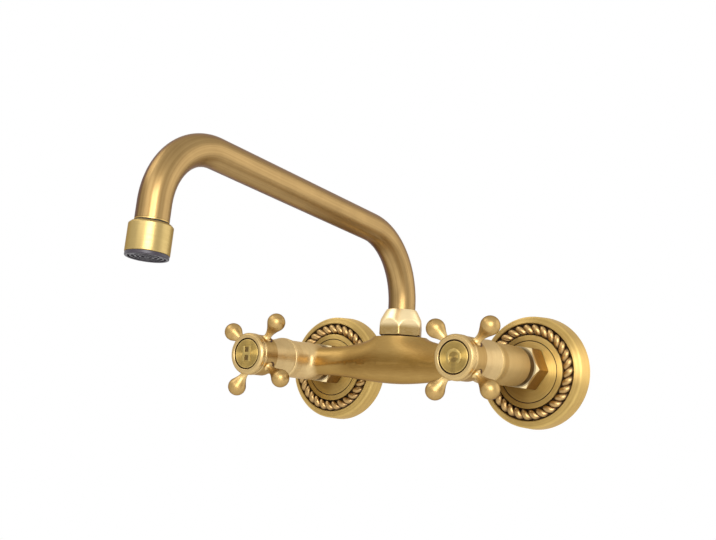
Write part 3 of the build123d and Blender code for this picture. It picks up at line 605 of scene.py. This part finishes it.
def body_shape():
    """The skin, with the turned ends of both cylinders and the spout's seat."""
    front = lathe(rounded([
        (CYLINDER_R, SKIN_FRONT), (CYLINDER_R, FLARE_START, 6), (LIP_R - 0.15, LIP_BACK - 0.8, 2.6),
        (LIP_R, LIP_BACK, 0.8), (LIP_R, CYLINDER_FRONT, 0.7), (BORE_R, CYLINDER_FRONT, 0.2), (BORE_R, 60),
    ]))
    back = lathe(rounded([
        (TAIL_BORE_R, 42), (TAIL_BORE_R, CYLINDER_BACK, 0.2), (CYLINDER_R, CYLINDER_BACK, 0.45),
        (CYLINDER_R, CYLINDER_BACK + 0.6),
    ]))
    seat = lathe(rounded([
        (BOSS_R + 0.02, BOSS_TOP - 0.3), (BOSS_R + 0.02, BOSS_TOP, 0.3), (SEAT_R, BOSS_TOP, 0.1),
        (SEAT_R, SEAT_TOP, 0.4), (SWIVEL_BORE_R, SEAT_TOP, 0.2), (SWIVEL_BORE_R, 22),
    ]))
    ends = [placed(end, valve_place(side)) for side in SIDES.values() for end in (front, back)]
    return joined(body_skin(), *ends, placed(seat, spout_place()))


# Spout tube: rings of points along its runs and bends

TUBE_R = 8.6
TUBE_BORE_R = 7.65
TUBE_EDGE = 0.15
TUBE_SEGMENTS = 72
TUBE_STEP = 4.0
TUBE_START = 28.6
RISER_CORNER = 78.1
RISER_BEND_R = 44.8
RUN_SLOPE = math.radians(5.7)
RUN_LENGTH = 221.6
DROP_BEND_R = 37.2
DROP_LENGTH = 46.2
DROP_LEAN = 5.0
# The tube's UV is how far round it, from nought to one, and how far along it, in lengths of 100 mm.
UV_LENGTH = 100


def tube_finish():
    """Marks along the tube, and painted shade down its left side."""
    finish = brass("tube_toned_and_painted_shade", edge=DARK_EDGE_TINT, lacquer=0.5)
    round_way, along, _ = finish.split(finish.node("ShaderNodeUVMap", {"uv_map": "along"}))
    angle = round_way * (2 * math.pi)
    cos, sin = angle.cosine(), angle.sine()
    lines = finish.noise(finish.vector(cos * 9, sin * 9, along * 1.2), 1.0, 3.0, 0.6)
    broad = finish.noise(finish.vector(cos * 2.0, sin * 2.0, along * 0.7), 1.0, 2.0, 0.5)
    light, dark = (0.47, 0.305, 0.115), (0.15, 0.08, 0.012)
    # Painted shade down the tube's left side
    painted_shade_left_side = sin.between(0.2, -0.5) * -0.7
    return tone(finish, lines * 0.6 + broad * 0.4, light, dark, 0.36, 0.3, 1.2, painted_shade_left_side)


def tube_corners():
    """The tube's corners in its own upright plane, as (forward, up, rounding)."""
    lean = math.radians(DROP_LEAN)
    far = (-RUN_LENGTH * math.cos(RUN_SLOPE), RISER_CORNER + RUN_LENGTH * math.sin(RUN_SLOPE))
    end = (far[0] - DROP_LENGTH * math.sin(lean), far[1] - DROP_LENGTH * math.cos(lean))
    return [(0, TUBE_START), (0, RISER_CORNER, RISER_BEND_R), (*far, DROP_BEND_R), end]


def tube_route():
    """Places, directions and lengths along the tube's middle line."""
    line = rounded(tube_corners(), 44)
    points = [line[0]]
    for point in line[1:]:
        start = points[-1]
        pieces = max(1, round(np.linalg.norm(point - start) / TUBE_STEP))
        points += [start + (point - start) * piece / pieces for piece in range(1, pieces + 1)]
    points = np.array(points)
    lengths = np.concatenate([[0], np.cumsum(np.linalg.norm(np.diff(points, axis=0), axis=1))])
    ways = np.gradient(points, lengths, axis=0)
    return points, ways / np.linalg.norm(ways, axis=1)[:, None], lengths


def tube_shape():
    """The tube's points and faces, and where each point lies round and along it."""
    route, ways, lengths = tube_route()
    last = len(route) - 1
    lip = [(4.0, TUBE_BORE_R), (TUBE_EDGE, TUBE_BORE_R), (0.0, TUBE_BORE_R + TUBE_EDGE),
           (0.0, TUBE_R - TUBE_EDGE), (TUBE_EDGE, TUBE_R)]
    stations = [(0, shift, radius) for shift, radius in lip]
    stations += [(place, 0, TUBE_R) for place in range(1, last)]
    stations += [(last, -shift, radius) for shift, radius in reversed(lip)]
    # The last angle meets the first, in points of their own, because each has its own place in the UV.
    angles = [*round_angles(TUBE_SEGMENTS), 2 * math.pi]
    points, uv = [], []
    for place, shift, radius in stations:
        way = ways[place]
        middle = route[place] + way * shift
        across = np.array([-way[1], way[0]])
        for angle in angles:
            out = middle + across * radius * math.cos(angle)
            points.append((radius * math.sin(angle), out[0] - SPOUT_DEPTH, out[1]))
            uv.append((angle / (2 * math.pi), (lengths[place] + shift) / UV_LENGTH))
    return (np.array(points), grid_faces(len(stations), len(angles), close_columns=False)), uv


# Outlet sleeve, measured from the tube's end

SLEEVE_R = 11.1
SLEEVE_BORE_R = 9.95
SLEEVE_TOP = -1.6
SLEEVE_END = -16.7
SLEEVE_CHAMFER = 1.1


def sleeve_shape():
    return lathe(rounded([
        (SLEEVE_BORE_R, SLEEVE_TOP), (SLEEVE_R - SLEEVE_CHAMFER, SLEEVE_TOP, 0.05),
        (SLEEVE_R, SLEEVE_TOP - SLEEVE_CHAMFER, 0.5), (SLEEVE_R, SLEEVE_END, 0.35),
        (SLEEVE_BORE_R, SLEEVE_END), (SLEEVE_BORE_R, SLEEVE_TOP),
    ]), close=True)


def outlet_place():
    """Moves a shape made about +Z on to the tube's end, with +Z back up the tube."""
    forward, up = tube_corners()[-1]
    return Matrix.Translation((0, forward - SPOUT_DEPTH, up)) @ turning(-DROP_LEAN, "X")


# Wall flange: a turned cover with a rope of leaning strands let into its face

FLANGE_R = 35.0
FLANGE_INSIDE_R = 33.2
FLANGE_HOLE_R = 10.56
CREST_R = 34.42
CREST_DEPTH = 10.7
PLATE_DEPTH = 13.4
PLATE_MIDDLE = 13.9
GROOVE_R = 19.1
GROOVE_DEPTH = 12.8
ROPE_OUTSIDE_R = 30.2
ROPE_INSIDE_R = 22.6
ROPE_MEAN_R = 26.3
ROPE_BED = 11.6
ROPE_STRANDS = 31
STRAND_R = 2.15
STRAND_SEGMENTS = 16
STRAND_REACH = 112
STRAND_SWING = 1.25
STRAND_ADVANCE = 1.5
ROPE_SINK = 0.6
ROPE_ROOT = 0.9
ROPE_SPREAD = 1.15


def flange_painted_light(finish):
    """A painted highlight on the crest's outer edge, and the plate inside it painted brighter to one side and
    darker to the other.
    """
    radius, cos, sin = finish.round_z()
    outer = radius.between(FLANGE_R - 2.0, FLANGE_R - 1.2)
    crest = outer * finish.z.between(CREST_DEPTH - 0.7, CREST_DEPTH - 0.1) * 0.25
    plate = radius.between(ROPE_OUTSIDE_R + 0.6, ROPE_OUTSIDE_R - 0.4) * ((cos + sin * 0.6) * 0.35 - 0.12)
    return crest + plate


def flange_painted_shade(finish):
    """Painted shade in the rope's bed and in the ring groove, but not on the back."""
    radius, _, _ = finish.round_z()
    in_rope = radius.between(ROPE_INSIDE_R - 0.6, ROPE_INSIDE_R + 0.2)
    in_rope = in_rope * radius.between(ROPE_OUTSIDE_R + 0.4, ROPE_OUTSIDE_R - 0.4)
    sunk = finish.z.between(PLATE_DEPTH + 0.2, PLATE_DEPTH - 1.4) * in_rope
    in_groove = abs(radius - GROOVE_R).between(0.5, 0.2)
    groove = finish.z.between(PLATE_DEPTH + 0.05, PLATE_DEPTH - 0.3) * in_groove
    return (sunk + groove) * finish.z.between(ROPE_BED - 1.0, ROPE_BED - 0.3)


def rope_painted_shade(finish):
    """Painted shade low down between the strands."""
    return finish.z.between(PLATE_DEPTH + 0.6, PLATE_DEPTH - 0.9) * 0.85


def cover_shape():
    return lathe(rounded([
        (FLANGE_INSIDE_R, 0), (FLANGE_R, 0, 0.25), (CREST_R, CREST_DEPTH, 1.3),
        (ROPE_OUTSIDE_R, PLATE_DEPTH, 0.5), (ROPE_OUTSIDE_R - 0.45, ROPE_BED, 0.15),
        (ROPE_INSIDE_R + 0.25, ROPE_BED, 0.15), (ROPE_INSIDE_R, PLATE_DEPTH, 0.45),
        (GROOVE_R + 0.3, PLATE_DEPTH, 0.12), (GROOVE_R + 0.18, GROOVE_DEPTH, 0.1),
        (GROOVE_R - 0.18, GROOVE_DEPTH, 0.1),
        (GROOVE_R - 0.3, PLATE_DEPTH, 0.12), (GROOVE_R - 1.1, PLATE_DEPTH + 0.04),
        (FLANGE_HOLE_R, PLATE_MIDDLE, 0.2), (FLANGE_HOLE_R - 0.02, 11.4), (22.8, 10.1, 0.5), (29.8, 9.7, 1.0),
        (FLANGE_INSIDE_R - 0.1, 5.4, 1.0), (FLANGE_INSIDE_R, 0),
    ]), 180)


def rope_strand():
    """One strand in (outward, round, up) from its middle: it winds over the rope and dives at both sides."""
    turns = np.radians(np.linspace(-STRAND_REACH, STRAND_REACH, 29))
    points = []
    for turn in turns:
        out = np.array([math.sin(turn), 0, math.cos(turn)])
        way = np.array([STRAND_SWING * math.cos(turn), STRAND_ADVANCE, -STRAND_SWING * math.sin(turn)])
        side = np.cross(way / np.linalg.norm(way), out)
        middle = out * STRAND_SWING + np.array([0, STRAND_ADVANCE * turn, -ROPE_SINK])
        points += [middle + STRAND_R * (out * math.cos(angle) + side * math.sin(angle))
                   for angle in round_angles(STRAND_SEGMENTS)]
    faces = grid_faces(len(turns), STRAND_SEGMENTS) + end_faces(len(turns), STRAND_SEGMENTS)
    return np.array(points), faces


def rope_shape():
    """The ring of strands, kept from coming out at the cover's back."""
    points, faces = rope_strand()
    outward, round_way, up = points.T
    radius, turn = ROPE_MEAN_R + ROPE_SPREAD * outward, round_way / ROPE_MEAN_R
    heights = ROPE_BED + np.maximum(up, -ROPE_ROOT)
    strands = []
    for strand in range(ROPE_STRANDS):
        angle = 2 * math.pi * strand / ROPE_STRANDS + turn
        strands.append((np.column_stack([radius * np.cos(angle), radius * np.sin(angle), heights]), faces))
    return joined(*strands)


# Nuts: a turned outline cut by six flats, every edge a little rounded

UNION_FLAT_R = 12.38
UNION_CORNER_R = 14.2
UNION_BACK = 14.3
UNION_CHAMFER = 26.6
UNION_LEDGE = 27.9
UNION_FRONT = 29.6
UNION_HOLE_R = 8.4
UNION_TURN = -6.0
SPOUT_NUT_FLAT_R = 12.75
SPOUT_NUT_CORNER_R = 14.52
SPOUT_NUT_BASE = 18.9
SPOUT_NUT_LEDGE = 30.25
SPOUT_NUT_TURN = -2.5
DOME_START = 24.2
DOME_SHOULDER = 29.0
DOME_TOP = 35.25
DOME_TOP_R = 9.3
NUT_EASE = 0.3
NUT_ROWS = 64
NUT_COLUMNS = 144


def union_painted_light(finish):
    """A painted highlight on the chamfer above flats painted darker."""
    return finish.z.between(UNION_CHAMFER - 0.2, UNION_CHAMFER + 0.3) * 0.9 - 0.25


def union_painted_shade(finish):
    """Painted shade on the front face inside the chamfer."""
    radius, _, _ = finish.round_z()
    return radius.between(13.1, 12.8) * finish.z.between(UNION_FRONT - 1.1, UNION_FRONT - 0.7) * 0.6


def spout_nut_painted_light(finish):
    """A painted highlight on the dome above flats painted darker."""
    return finish.z.between(DOME_START - 1.2, DOME_START + 2.8) * 0.8 - 0.3


def nut_shape(line, flat_r, turn, low, high):
    """A six-sided nut round Z: its outer line of (radius, along), its flats, and its inner points."""
    line = np.asarray(line, float)
    sector = np.linspace(-1, 1, NUT_COLUMNS // 6, endpoint=False)
    within = 30 * np.sign(sector) * (1 - (1 - np.abs(sector)) ** 1.7)
    angles = np.radians(np.concatenate([within + 30 + turn + 60 * face for face in range(6)]))
    flats = flat_r / np.cos(np.radians(np.tile(within, 6)))
    loops = [(np.full(NUT_COLUMNS, radius), along) for radius, along in low]
    for height in np.linspace(line[0, 1], line[-1, 1], NUT_ROWS):
        turned = np.interp(height, line[:, 1], line[:, 0])
        loops.append((soft_join(flats, np.full(NUT_COLUMNS, turned), NUT_EASE), height))
    loops += [(np.full(NUT_COLUMNS, radius), along) for radius, along in high]
    points = [np.column_stack([radius * np.cos(angles), radius * np.sin(angles), np.full(NUT_COLUMNS, along)])
              for radius, along in loops]
    return np.concatenate(points), grid_faces(len(loops), NUT_COLUMNS, close_rows=True)


def union_nut_shape():
    line = rounded([
        (UNION_CORNER_R - 0.4, UNION_BACK), (UNION_CORNER_R, UNION_BACK + 0.4, 0.4),
        (UNION_CORNER_R, UNION_CHAMFER, 0.6), (UNION_FLAT_R, UNION_FRONT - 0.15),
        (UNION_FLAT_R - 0.18, UNION_FRONT),
    ])
    low = [(BORE_R, UNION_LEDGE), (BORE_R, UNION_BACK)]
    high = [(UNION_HOLE_R, UNION_FRONT), (UNION_HOLE_R, UNION_LEDGE)]
    return nut_shape(line, UNION_FLAT_R, UNION_TURN, low, high)


def spout_nut_shape():
    start, shoulder = (SPOUT_NUT_CORNER_R, DOME_START), (SPOUT_NUT_FLAT_R, DOME_SHOULDER)
    line = [(14.1, SPOUT_NUT_BASE), (14.45, SPOUT_NUT_BASE + 0.35)]
    line += eased(start, (-0.18, 0.98), shoulder, (-0.45, 0.89), 8)
    line += eased(shoulder, (-0.45, 0.89), (DOME_TOP_R, DOME_TOP), (-0.58, 0.81), 12)[1:]
    low = [(BORE_R, SPOUT_NUT_LEDGE), (BORE_R, SPOUT_NUT_BASE)]
    high = [(DOME_TOP_R - 0.35, DOME_TOP - 0.15), (DOME_TOP_R - 0.4, SPOUT_NUT_LEDGE)]
    return nut_shape(line, SPOUT_NUT_FLAT_R, SPOUT_NUT_TURN, low, high)


# Shroud, and the handle's hub and arms, measured out from the wall

SHROUD_R = 12.98
SHROUD_WAIST_R = 11.1
SHROUD_MOUTH_R = 12.1
SHROUD_BACK = 70.0
SHROUD_FRONT = 87.3
SHROUD_WALL = 0.9
SHROUD_HOLE_R = 5.8
HUB_R = 12.8
HUB_BACK = 88.0
HUB_FRONT = 104.4
SOCKET_R = 4.3
SOCKET_END = 95
BEAD_R = 13.13
BEAD_BACK = 98.6
BEAD_FRONT = 100.1
HUB_LINE_R = 12.7
HUB_LINE = 100.62
RIM_R = 13.05
RIM_BACK = 101.0
RIM_FRONT = 103.2
WELL_R = 9.75
CAP_SEAT = 102.2
ARM_DEPTH = 94.3
ARM_ROOT_R = 3.1
# Along an arm and out from its middle line: the neck's waist, and where the neck runs into the ball
NECK_WAIST = (15.0, 2.15)
BALL_JOIN = (22.15, 4.94)
BALL_PLACE = 25
BALL_R = 5.7


def shroud_shape():
    inside = SHROUD_WAIST_R - SHROUD_WALL
    return lathe(rounded([
        (SHROUD_MOUTH_R, SHROUD_BACK), (SHROUD_R, SHROUD_BACK, 0.25), (SHROUD_WAIST_R, 77.6, 14),
        (SHROUD_WAIST_R, SHROUD_FRONT, 0.5), (SHROUD_HOLE_R, SHROUD_FRONT),
        (SHROUD_HOLE_R, SHROUD_FRONT - SHROUD_WALL), (inside, SHROUD_FRONT - SHROUD_WALL), (inside, 77.0),
        (SHROUD_MOUTH_R, 71.7), (SHROUD_MOUTH_R, SHROUD_BACK),
    ], 8), close=True)


def hub_painted_shade(finish):
    """Painted shade behind the roots of the four arms, in the line behind the rim, and round the cap."""
    radius, _, _ = finish.round_z()
    across = (abs(finish.x) - abs(finish.y)) * math.sqrt(0.5)
    along = finish.z - ARM_DEPTH + 1.4
    away = (across * across + along * along).root()
    roots = away.between(3.9, 3.2) * finish.z.between(BEAD_BACK - 0.6, BEAD_BACK - 1.6)
    line = abs(finish.z - HUB_LINE).between(0.5, 0.2) * 0.7
    round_cap = radius.between(WELL_R + 0.2, WELL_R + 0.05) * finish.z.between(CAP_SEAT - 1.2, CAP_SEAT - 0.7)
    return roots + line + round_cap


def hub_painted_light(finish):
    """Painted shade behind the rim, and a painted highlight on the rim."""
    return finish.z.between(BEAD_BACK - 0.2, BEAD_BACK + 0.1) * 0.45 - 0.3


def arm_painted_highlight(finish):
    """A painted highlight along the necks, and the ends a little darker."""
    radius, _, _ = finish.round_z()
    return radius.between(21.5, 16.0) * 0.6 - 0.1


def hub_shape():
    return lathe(rounded([
        (0, SOCKET_END), (SOCKET_R, SOCKET_END), (SOCKET_R, HUB_BACK), (HUB_R - 0.6, HUB_BACK),
        (HUB_R, HUB_BACK + 0.6), (HUB_R, BEAD_BACK), (BEAD_R, BEAD_BACK + 0.15, 0.12),
        (BEAD_R, BEAD_FRONT, 0.3), (HUB_LINE_R, HUB_LINE - 0.17), (HUB_LINE_R, HUB_LINE + 0.18),
        (RIM_R, RIM_BACK, 0.3), (RIM_R, RIM_FRONT, 0.7), (RIM_R - 1.1, HUB_FRONT, 0.7),
        (WELL_R + 0.4, HUB_FRONT, 0.2), (WELL_R, HUB_FRONT - 0.4), (WELL_R, CAP_SEAT), (0, CAP_SEAT),
    ]), 128)


def arm_shape():
    """The four arms, each a turned drop on a slim neck, in the hub's own frame."""
    line = [(9.9, 0), (9.9, ARM_ROOT_R)]
    line += eased((12.85, ARM_ROOT_R), (0.33, -0.94), NECK_WAIST, (1, 0.02), 8)
    line += eased(NECK_WAIST, (1, 0.02), BALL_JOIN, (0.866, 0.5), 12)[1:]
    line += [(BALL_PLACE + BALL_R * math.cos(turn), BALL_R * math.sin(turn))
             for turn in np.radians(np.linspace(120, 0, 19)[1:])]
    arm = lathe([(radius, along) for along, radius in line], 48)
    root = Matrix.Translation((0, 0, ARM_DEPTH))
    return joined(*[placed(arm, root @ turning(turn) @ turning(90, "Y")) for turn in (45, 135, 225, 315)])


# Index cap, with a raised letter

CAP_R = 9.15
CAP_TOP = 103.95
LETTER_R = 4.8
H_HALF_WIDTH = 3.2
H_STEM_INSIDE = 1.5
H_BAR_HALF = 0.85
C_INSIDE_R = 3.1
# The C's stroke in degrees from one end to the other, which leaves its mouth at the bottom
C_SWEEP = (-50, 230)
LETTER_RISE = 0.33
LETTER_BEVEL = 0.12


def cap_shade_and_toning(sign):
    """Dark toning left inside a raised letter, and painted shade at the cap's rim."""
    def shade_and_toning(finish):
        radius, _, _ = finish.round_z()
        rim = radius.between(CAP_R - 0.15, CAP_R - 0.03)
        if sign == "H":
            counters = (abs(finish.x) - 1.2).larger(abs(abs(finish.y) - 2.6) - 1.3)
            return counters.between(0.5, 0.0) * 0.7 + rim
        mouth = (abs(finish.x) - 1.1).larger(finish.y)
        return (radius - 2.3).between(0.9, 0.0) * 0.25 + mouth.between(0.6, 0.0) * 0.2 + rim
    return shade_and_toning


def cap_painted_highlight(finish):
    """A painted highlight on the cap's edge."""
    radius, _, _ = finish.round_z()
    return radius.between(CAP_R - 0.85, CAP_R - 0.55) * 0.7


def cap_shape():
    return lathe(rounded([(0, CAP_SEAT), (CAP_R, CAP_SEAT), (CAP_R, CAP_TOP, 0.4), (0, CAP_TOP)]))


def letter_corners(sign):
    """A letter's outline, anticlockwise: an H, or a C whose mouth is turned down."""
    if sign == "H":
        quarter = [(H_HALF_WIDTH, LETTER_R), (H_STEM_INSIDE, LETTER_R), (H_STEM_INSIDE, H_BAR_HALF)]
        upper = quarter + [(-x, y) for x, y in reversed(quarter)]
        return upper + [(-x, -y) for x, y in upper]
    turns = np.radians(np.linspace(*C_SWEEP, 41))
    outside = [(LETTER_R * math.cos(turn), LETTER_R * math.sin(turn)) for turn in turns]
    return outside + [(C_INSIDE_R * math.cos(turn), C_INSIDE_R * math.sin(turn)) for turn in reversed(turns)]


def letter_shape(sign):
    """A raised letter with a narrow bevel."""
    corners = np.array(letter_corners(sign))
    before, after = corners - np.roll(corners, 1, 0), np.roll(corners, -1, 0) - corners
    before, after = [way / np.linalg.norm(way, axis=1)[:, None] for way in (before, after)]
    inward = np.column_stack([-before[:, 1] - after[:, 1], before[:, 0] + after[:, 0]])
    inward /= 1 + np.sum(before * after, 1)[:, None]
    loops = [(0, -0.1), (0, LETTER_RISE - 0.08), (LETTER_BEVEL, LETTER_RISE)]
    count = len(corners)
    points = [np.column_stack([corners + inward * inset, np.full(count, CAP_TOP + rise)])
              for inset, rise in loops]
    top = tuple(range(2 * count, 3 * count))
    return np.concatenate(points), [*grid_faces(len(loops), count), top]


# The finishes of the brass pieces, each from a light and a dark tone, several with painted highlights and
# painted shade

plain_brass = turned_finish("plain_brass", (0.58, 0.40, 0.15), (0.34, 0.21, 0.06), 0.32)
shroud_brass = turned_finish("toned_shroud", (0.68, 0.51, 0.26), (0.38, 0.25, 0.09), 0.46, 0.4, contrast=0.4)
hub_brass = turned_finish("hub_toned_and_painted_light", (0.62, 0.45, 0.20), (0.28, 0.16, 0.04), 0.40, 0.2, painted_light=hub_painted_light,
                          shade_and_toning=hub_painted_shade)
arm_brass = turned_finish("arm_toned_and_painted_highlight", (0.60, 0.42, 0.17), (0.27, 0.15, 0.035), 0.40, edge=DARK_EDGE_TINT,
                          contrast=0.4, painted_light=arm_painted_highlight)
union_brass = turned_finish("union_toned_and_painted_light", (0.88, 0.70, 0.38), (0.26, 0.14, 0.03), 0.34, painted_light=union_painted_light,
                            shade_and_toning=union_painted_shade)
nut_brass = turned_finish("nut_toned_and_painted_light", (0.86, 0.68, 0.38), (0.26, 0.15, 0.025), 0.33, painted_light=spout_nut_painted_light)
sleeve_brass = turned_finish("pale_sleeve", (0.51, 0.38, 0.15), (0.34, 0.23, 0.07), 0.38, 0.4)
flange_brass = turned_finish("flange_toned_and_painted_light", (0.72, 0.51, 0.17), (0.27, 0.14, 0.015), 0.5, 0.95,
                             painted_light=flange_painted_light, shade_and_toning=flange_painted_shade)
rope_brass = turned_finish("rope_toned_and_painted_shade", (0.54, 0.36, 0.145), (0.23, 0.12, 0.03), 0.36, shade_and_toning=rope_painted_shade)
letter_brass = turned_finish("toned_letter", (0.52, 0.38, 0.13), (0.34, 0.23, 0.06), 0.36)
cap_brass = {sign: turned_finish(f"cap_toned_and_painted_light_{sign}", (0.56, 0.39, 0.12), (0.25, 0.155, 0.025), 0.5, 0.95,
                                 contrast=0.5, painted_light=cap_painted_highlight, shade_and_toning=cap_shade_and_toning(sign))
             for sign in CAP_SIGN.values()}


# The pieces, each in the place of its part

body = add_piece("body_skin", [body_shape()], sharp=40)
stands_for(body, "body", "faucet_base", "body_brass", body_finish())
bent, bent_uv = tube_shape()
tube = add_piece("tube_bent", [bent], sharp=40, uv=bent_uv)
stands_for(tube, "spout_tube", "spout", "tube_brass", tube_finish())
sleeve = add_piece("sleeve_turned", [sleeve_shape()], outlet_place())
stands_for(sleeve, "aerator_housing", "spout", "pale_brass", sleeve_brass)
spout_nut = add_piece("spout_nut_faceted", [spout_nut_shape()], spout_place())
stands_for(spout_nut, "spout_nut", "faucet_base", "nut_brass", nut_brass)
for name, side in SIDES.items():
    sign = CAP_SIGN[name]
    valve, handle = valve_place(side), valve_place(side) @ turning(HANDLE_TURN[name])
    flange = add_piece(f"flange_cover_{name}", [cover_shape(), rope_shape()], valve_place(side, 0), sharp=40)
    stands_for(flange, f"wall_flange_{name}", "faucet_base", "flange_brass", flange_brass, rope_brass)
    nut = add_piece(f"union_nut_faceted_{name}", [union_nut_shape()], valve)
    stands_for(nut, f"union_nut_{name}", "faucet_base", "union_brass", union_brass)
    shroud = add_piece(f"shroud_turned_{name}", [shroud_shape()], valve)
    stands_for(shroud, f"bonnet_shroud_{name}", "faucet_base", "shroud_brass", shroud_brass)
    cross = add_piece(f"handle_cross_{name}", [hub_shape(), arm_shape()], handle)
    stands_for(cross, f"cross_handle_{name}", HANDLE_BODY[name], "handle_brass", hub_brass, arm_brass)
    cap = add_piece(f"cap_lettered_{name}", [cap_shape(), letter_shape(sign)], valve)
    stands_for(cap, f"index_cap_{name}", HANDLE_BODY[name], "cap_brass", cap_brass[sign], letter_brass)


# The modelled parts' own finishes; every slot that isn't listed here is brass

by_slot = {
    "rubber": plain_finish("black_rubber", (0.018, 0.017, 0.016), 0.7),
    "fibre": plain_finish("red_fibre", (0.20, 0.05, 0.035), 0.8),
    "ceramic": plain_finish("white_ceramic", (0.80, 0.79, 0.76), 0.3),
    "steel": plain_finish("plain_steel", (0.55, 0.55, 0.56), 0.3, metallic=1.0),
    "white_plastic": plain_finish("white_plastic", (0.72, 0.72, 0.68), 0.45),
    "dark_plastic": plain_finish("dark_plastic", (0.040, 0.030, 0.042), 0.4),
}
for part in frame["record"]["subparts"]:
    paint(nodes[part["node"]], by_slot.get(part["material_slot"], plain_brass))


# Stage: a pale floor, soft lamps and a white surround

AMBIENT = 0.15
FLOOR_LEVEL = -320
FLOOR_HALF = 900
FLOOR_GLOW = 0.7
# The lamps, by name: degrees round from the front, degrees up, size in metres and power in watts
LAMPS = {
    "left": (-55, 45, (0.9, 0.6), 4),
    "front": (0, 25, (0.8, 0.8), 3),
    "right": (38, 11, (0.8, 0.8), 17),
    "behind": (130, 12, (1.4, 1.4), 6),
}
LAMP_AIM = (0, -100, 40)
LAMP_REACH = 1400
# The photograph's camera: its place, how far it is turned, tipped and rolled in degrees, its lens, and the
# nearest and furthest that it sees, in metres
CAMERA_PLACE = (416.416, -679.631, -38.094)
CAMERA_TURN, CAMERA_TIP, CAMERA_ROLL = 35.413, -7.287, 3.293
CAMERA_LENS, SENSOR_WIDTH = 60.50, 36
CAMERA_NEAR, CAMERA_FAR = 0.01, 50
PHOTO_WIDTH = 716
HALF_PIXEL = 0.5


def studio_world():
    """White to rays that look at it, and a dim even light to the rest."""
    world = bpy.data.worlds.new("studio")
    bpy.context.scene.world = world
    world.use_nodes = True
    world.node_tree.nodes.clear()
    wiring = Wiring(world.node_tree)
    shade = wiring.mix(wiring.looking(), (AMBIENT,) * 3, (1, 1, 1))
    wiring.node("ShaderNodeOutputWorld", {}, [wiring.node("ShaderNodeBackground", {}, [shade])], output=None)


def studio_floor():
    """A pale floor that keeps the faucet's shadow and glows up to white for rays that look at it."""
    half, level = FLOOR_HALF, FLOOR_LEVEL
    corners = [(-half, -half, level), (half, -half, level), (half, half, level), (-half, half, level)]
    floor = add_piece("floor", [(corners, [(0, 1, 2, 3)])], sharp=0)
    finish = Finish("pale_floor", Roughness=0.9, Emission_Strength=1.0)
    shade = finish.noise(finish.place, 0.01)
    finish.set(Base_Color=finish.mix(shade, (0.86, 0.86, 0.86), (0.90, 0.90, 0.90)))
    finish.set(Emission_Color=finish.mix(finish.looking(), (0, 0, 0), (FLOOR_GLOW,) * 3))
    paint(floor, finish.material)


def way_to(turn, rise):
    """The direction to something at an angle round from the front and an angle up, in degrees."""
    turn, rise = math.radians(turn), math.radians(rise)
    return Vector((math.sin(turn) * math.cos(rise), -math.cos(turn) * math.cos(rise), math.sin(rise)))


def add_lamp(name, turn, rise, size, power):
    """A soft lamp that shines at the faucet."""
    back = way_to(turn, rise)
    light = bpy.data.lights.new(name, "AREA")
    light.shape = "RECTANGLE"
    light.size, light.size_y = size
    light.energy = power
    lamp = bpy.data.objects.new(name, light)
    lamp.location = (Vector(LAMP_AIM) + back * LAMP_REACH) * MM
    lamp.rotation_mode = "QUATERNION"
    lamp.rotation_quaternion = back.to_track_quat("Z", "Y")
    bpy.context.scene.collection.objects.link(lamp)


def photo_camera():
    """The photograph's camera, in the shared frame."""
    back, turn, roll = way_to(CAMERA_TURN, CAMERA_TIP), math.radians(CAMERA_TURN), math.radians(CAMERA_ROLL)
    right = Vector((math.cos(turn), math.sin(turn), 0))
    up = back.cross(right)
    across = math.cos(roll) * right + math.sin(roll) * up
    upward = -math.sin(roll) * right + math.cos(roll) * up
    data = bpy.data.cameras.new("camera")
    data.sensor_width, data.lens = SENSOR_WIDTH, CAMERA_LENS
    data.clip_start, data.clip_end = CAMERA_NEAR, CAMERA_FAR
    data.shift_x, data.shift_y = -HALF_PIXEL / PHOTO_WIDTH, HALF_PIXEL / PHOTO_WIDTH
    camera = bpy.data.objects.new("camera", data)
    matrix = Matrix((across, upward, back)).transposed().to_4x4()
    matrix.translation = Vector(CAMERA_PLACE) * MM
    camera.matrix_world = matrix
    bpy.context.scene.collection.objects.link(camera)
    bpy.context.scene.camera = camera


studio_world()
studio_floor()
for name, lamp in LAMPS.items():
    add_lamp(name, *lamp)
photo_camera()
bpy.context.scene.view_settings.view_transform = "Standard"
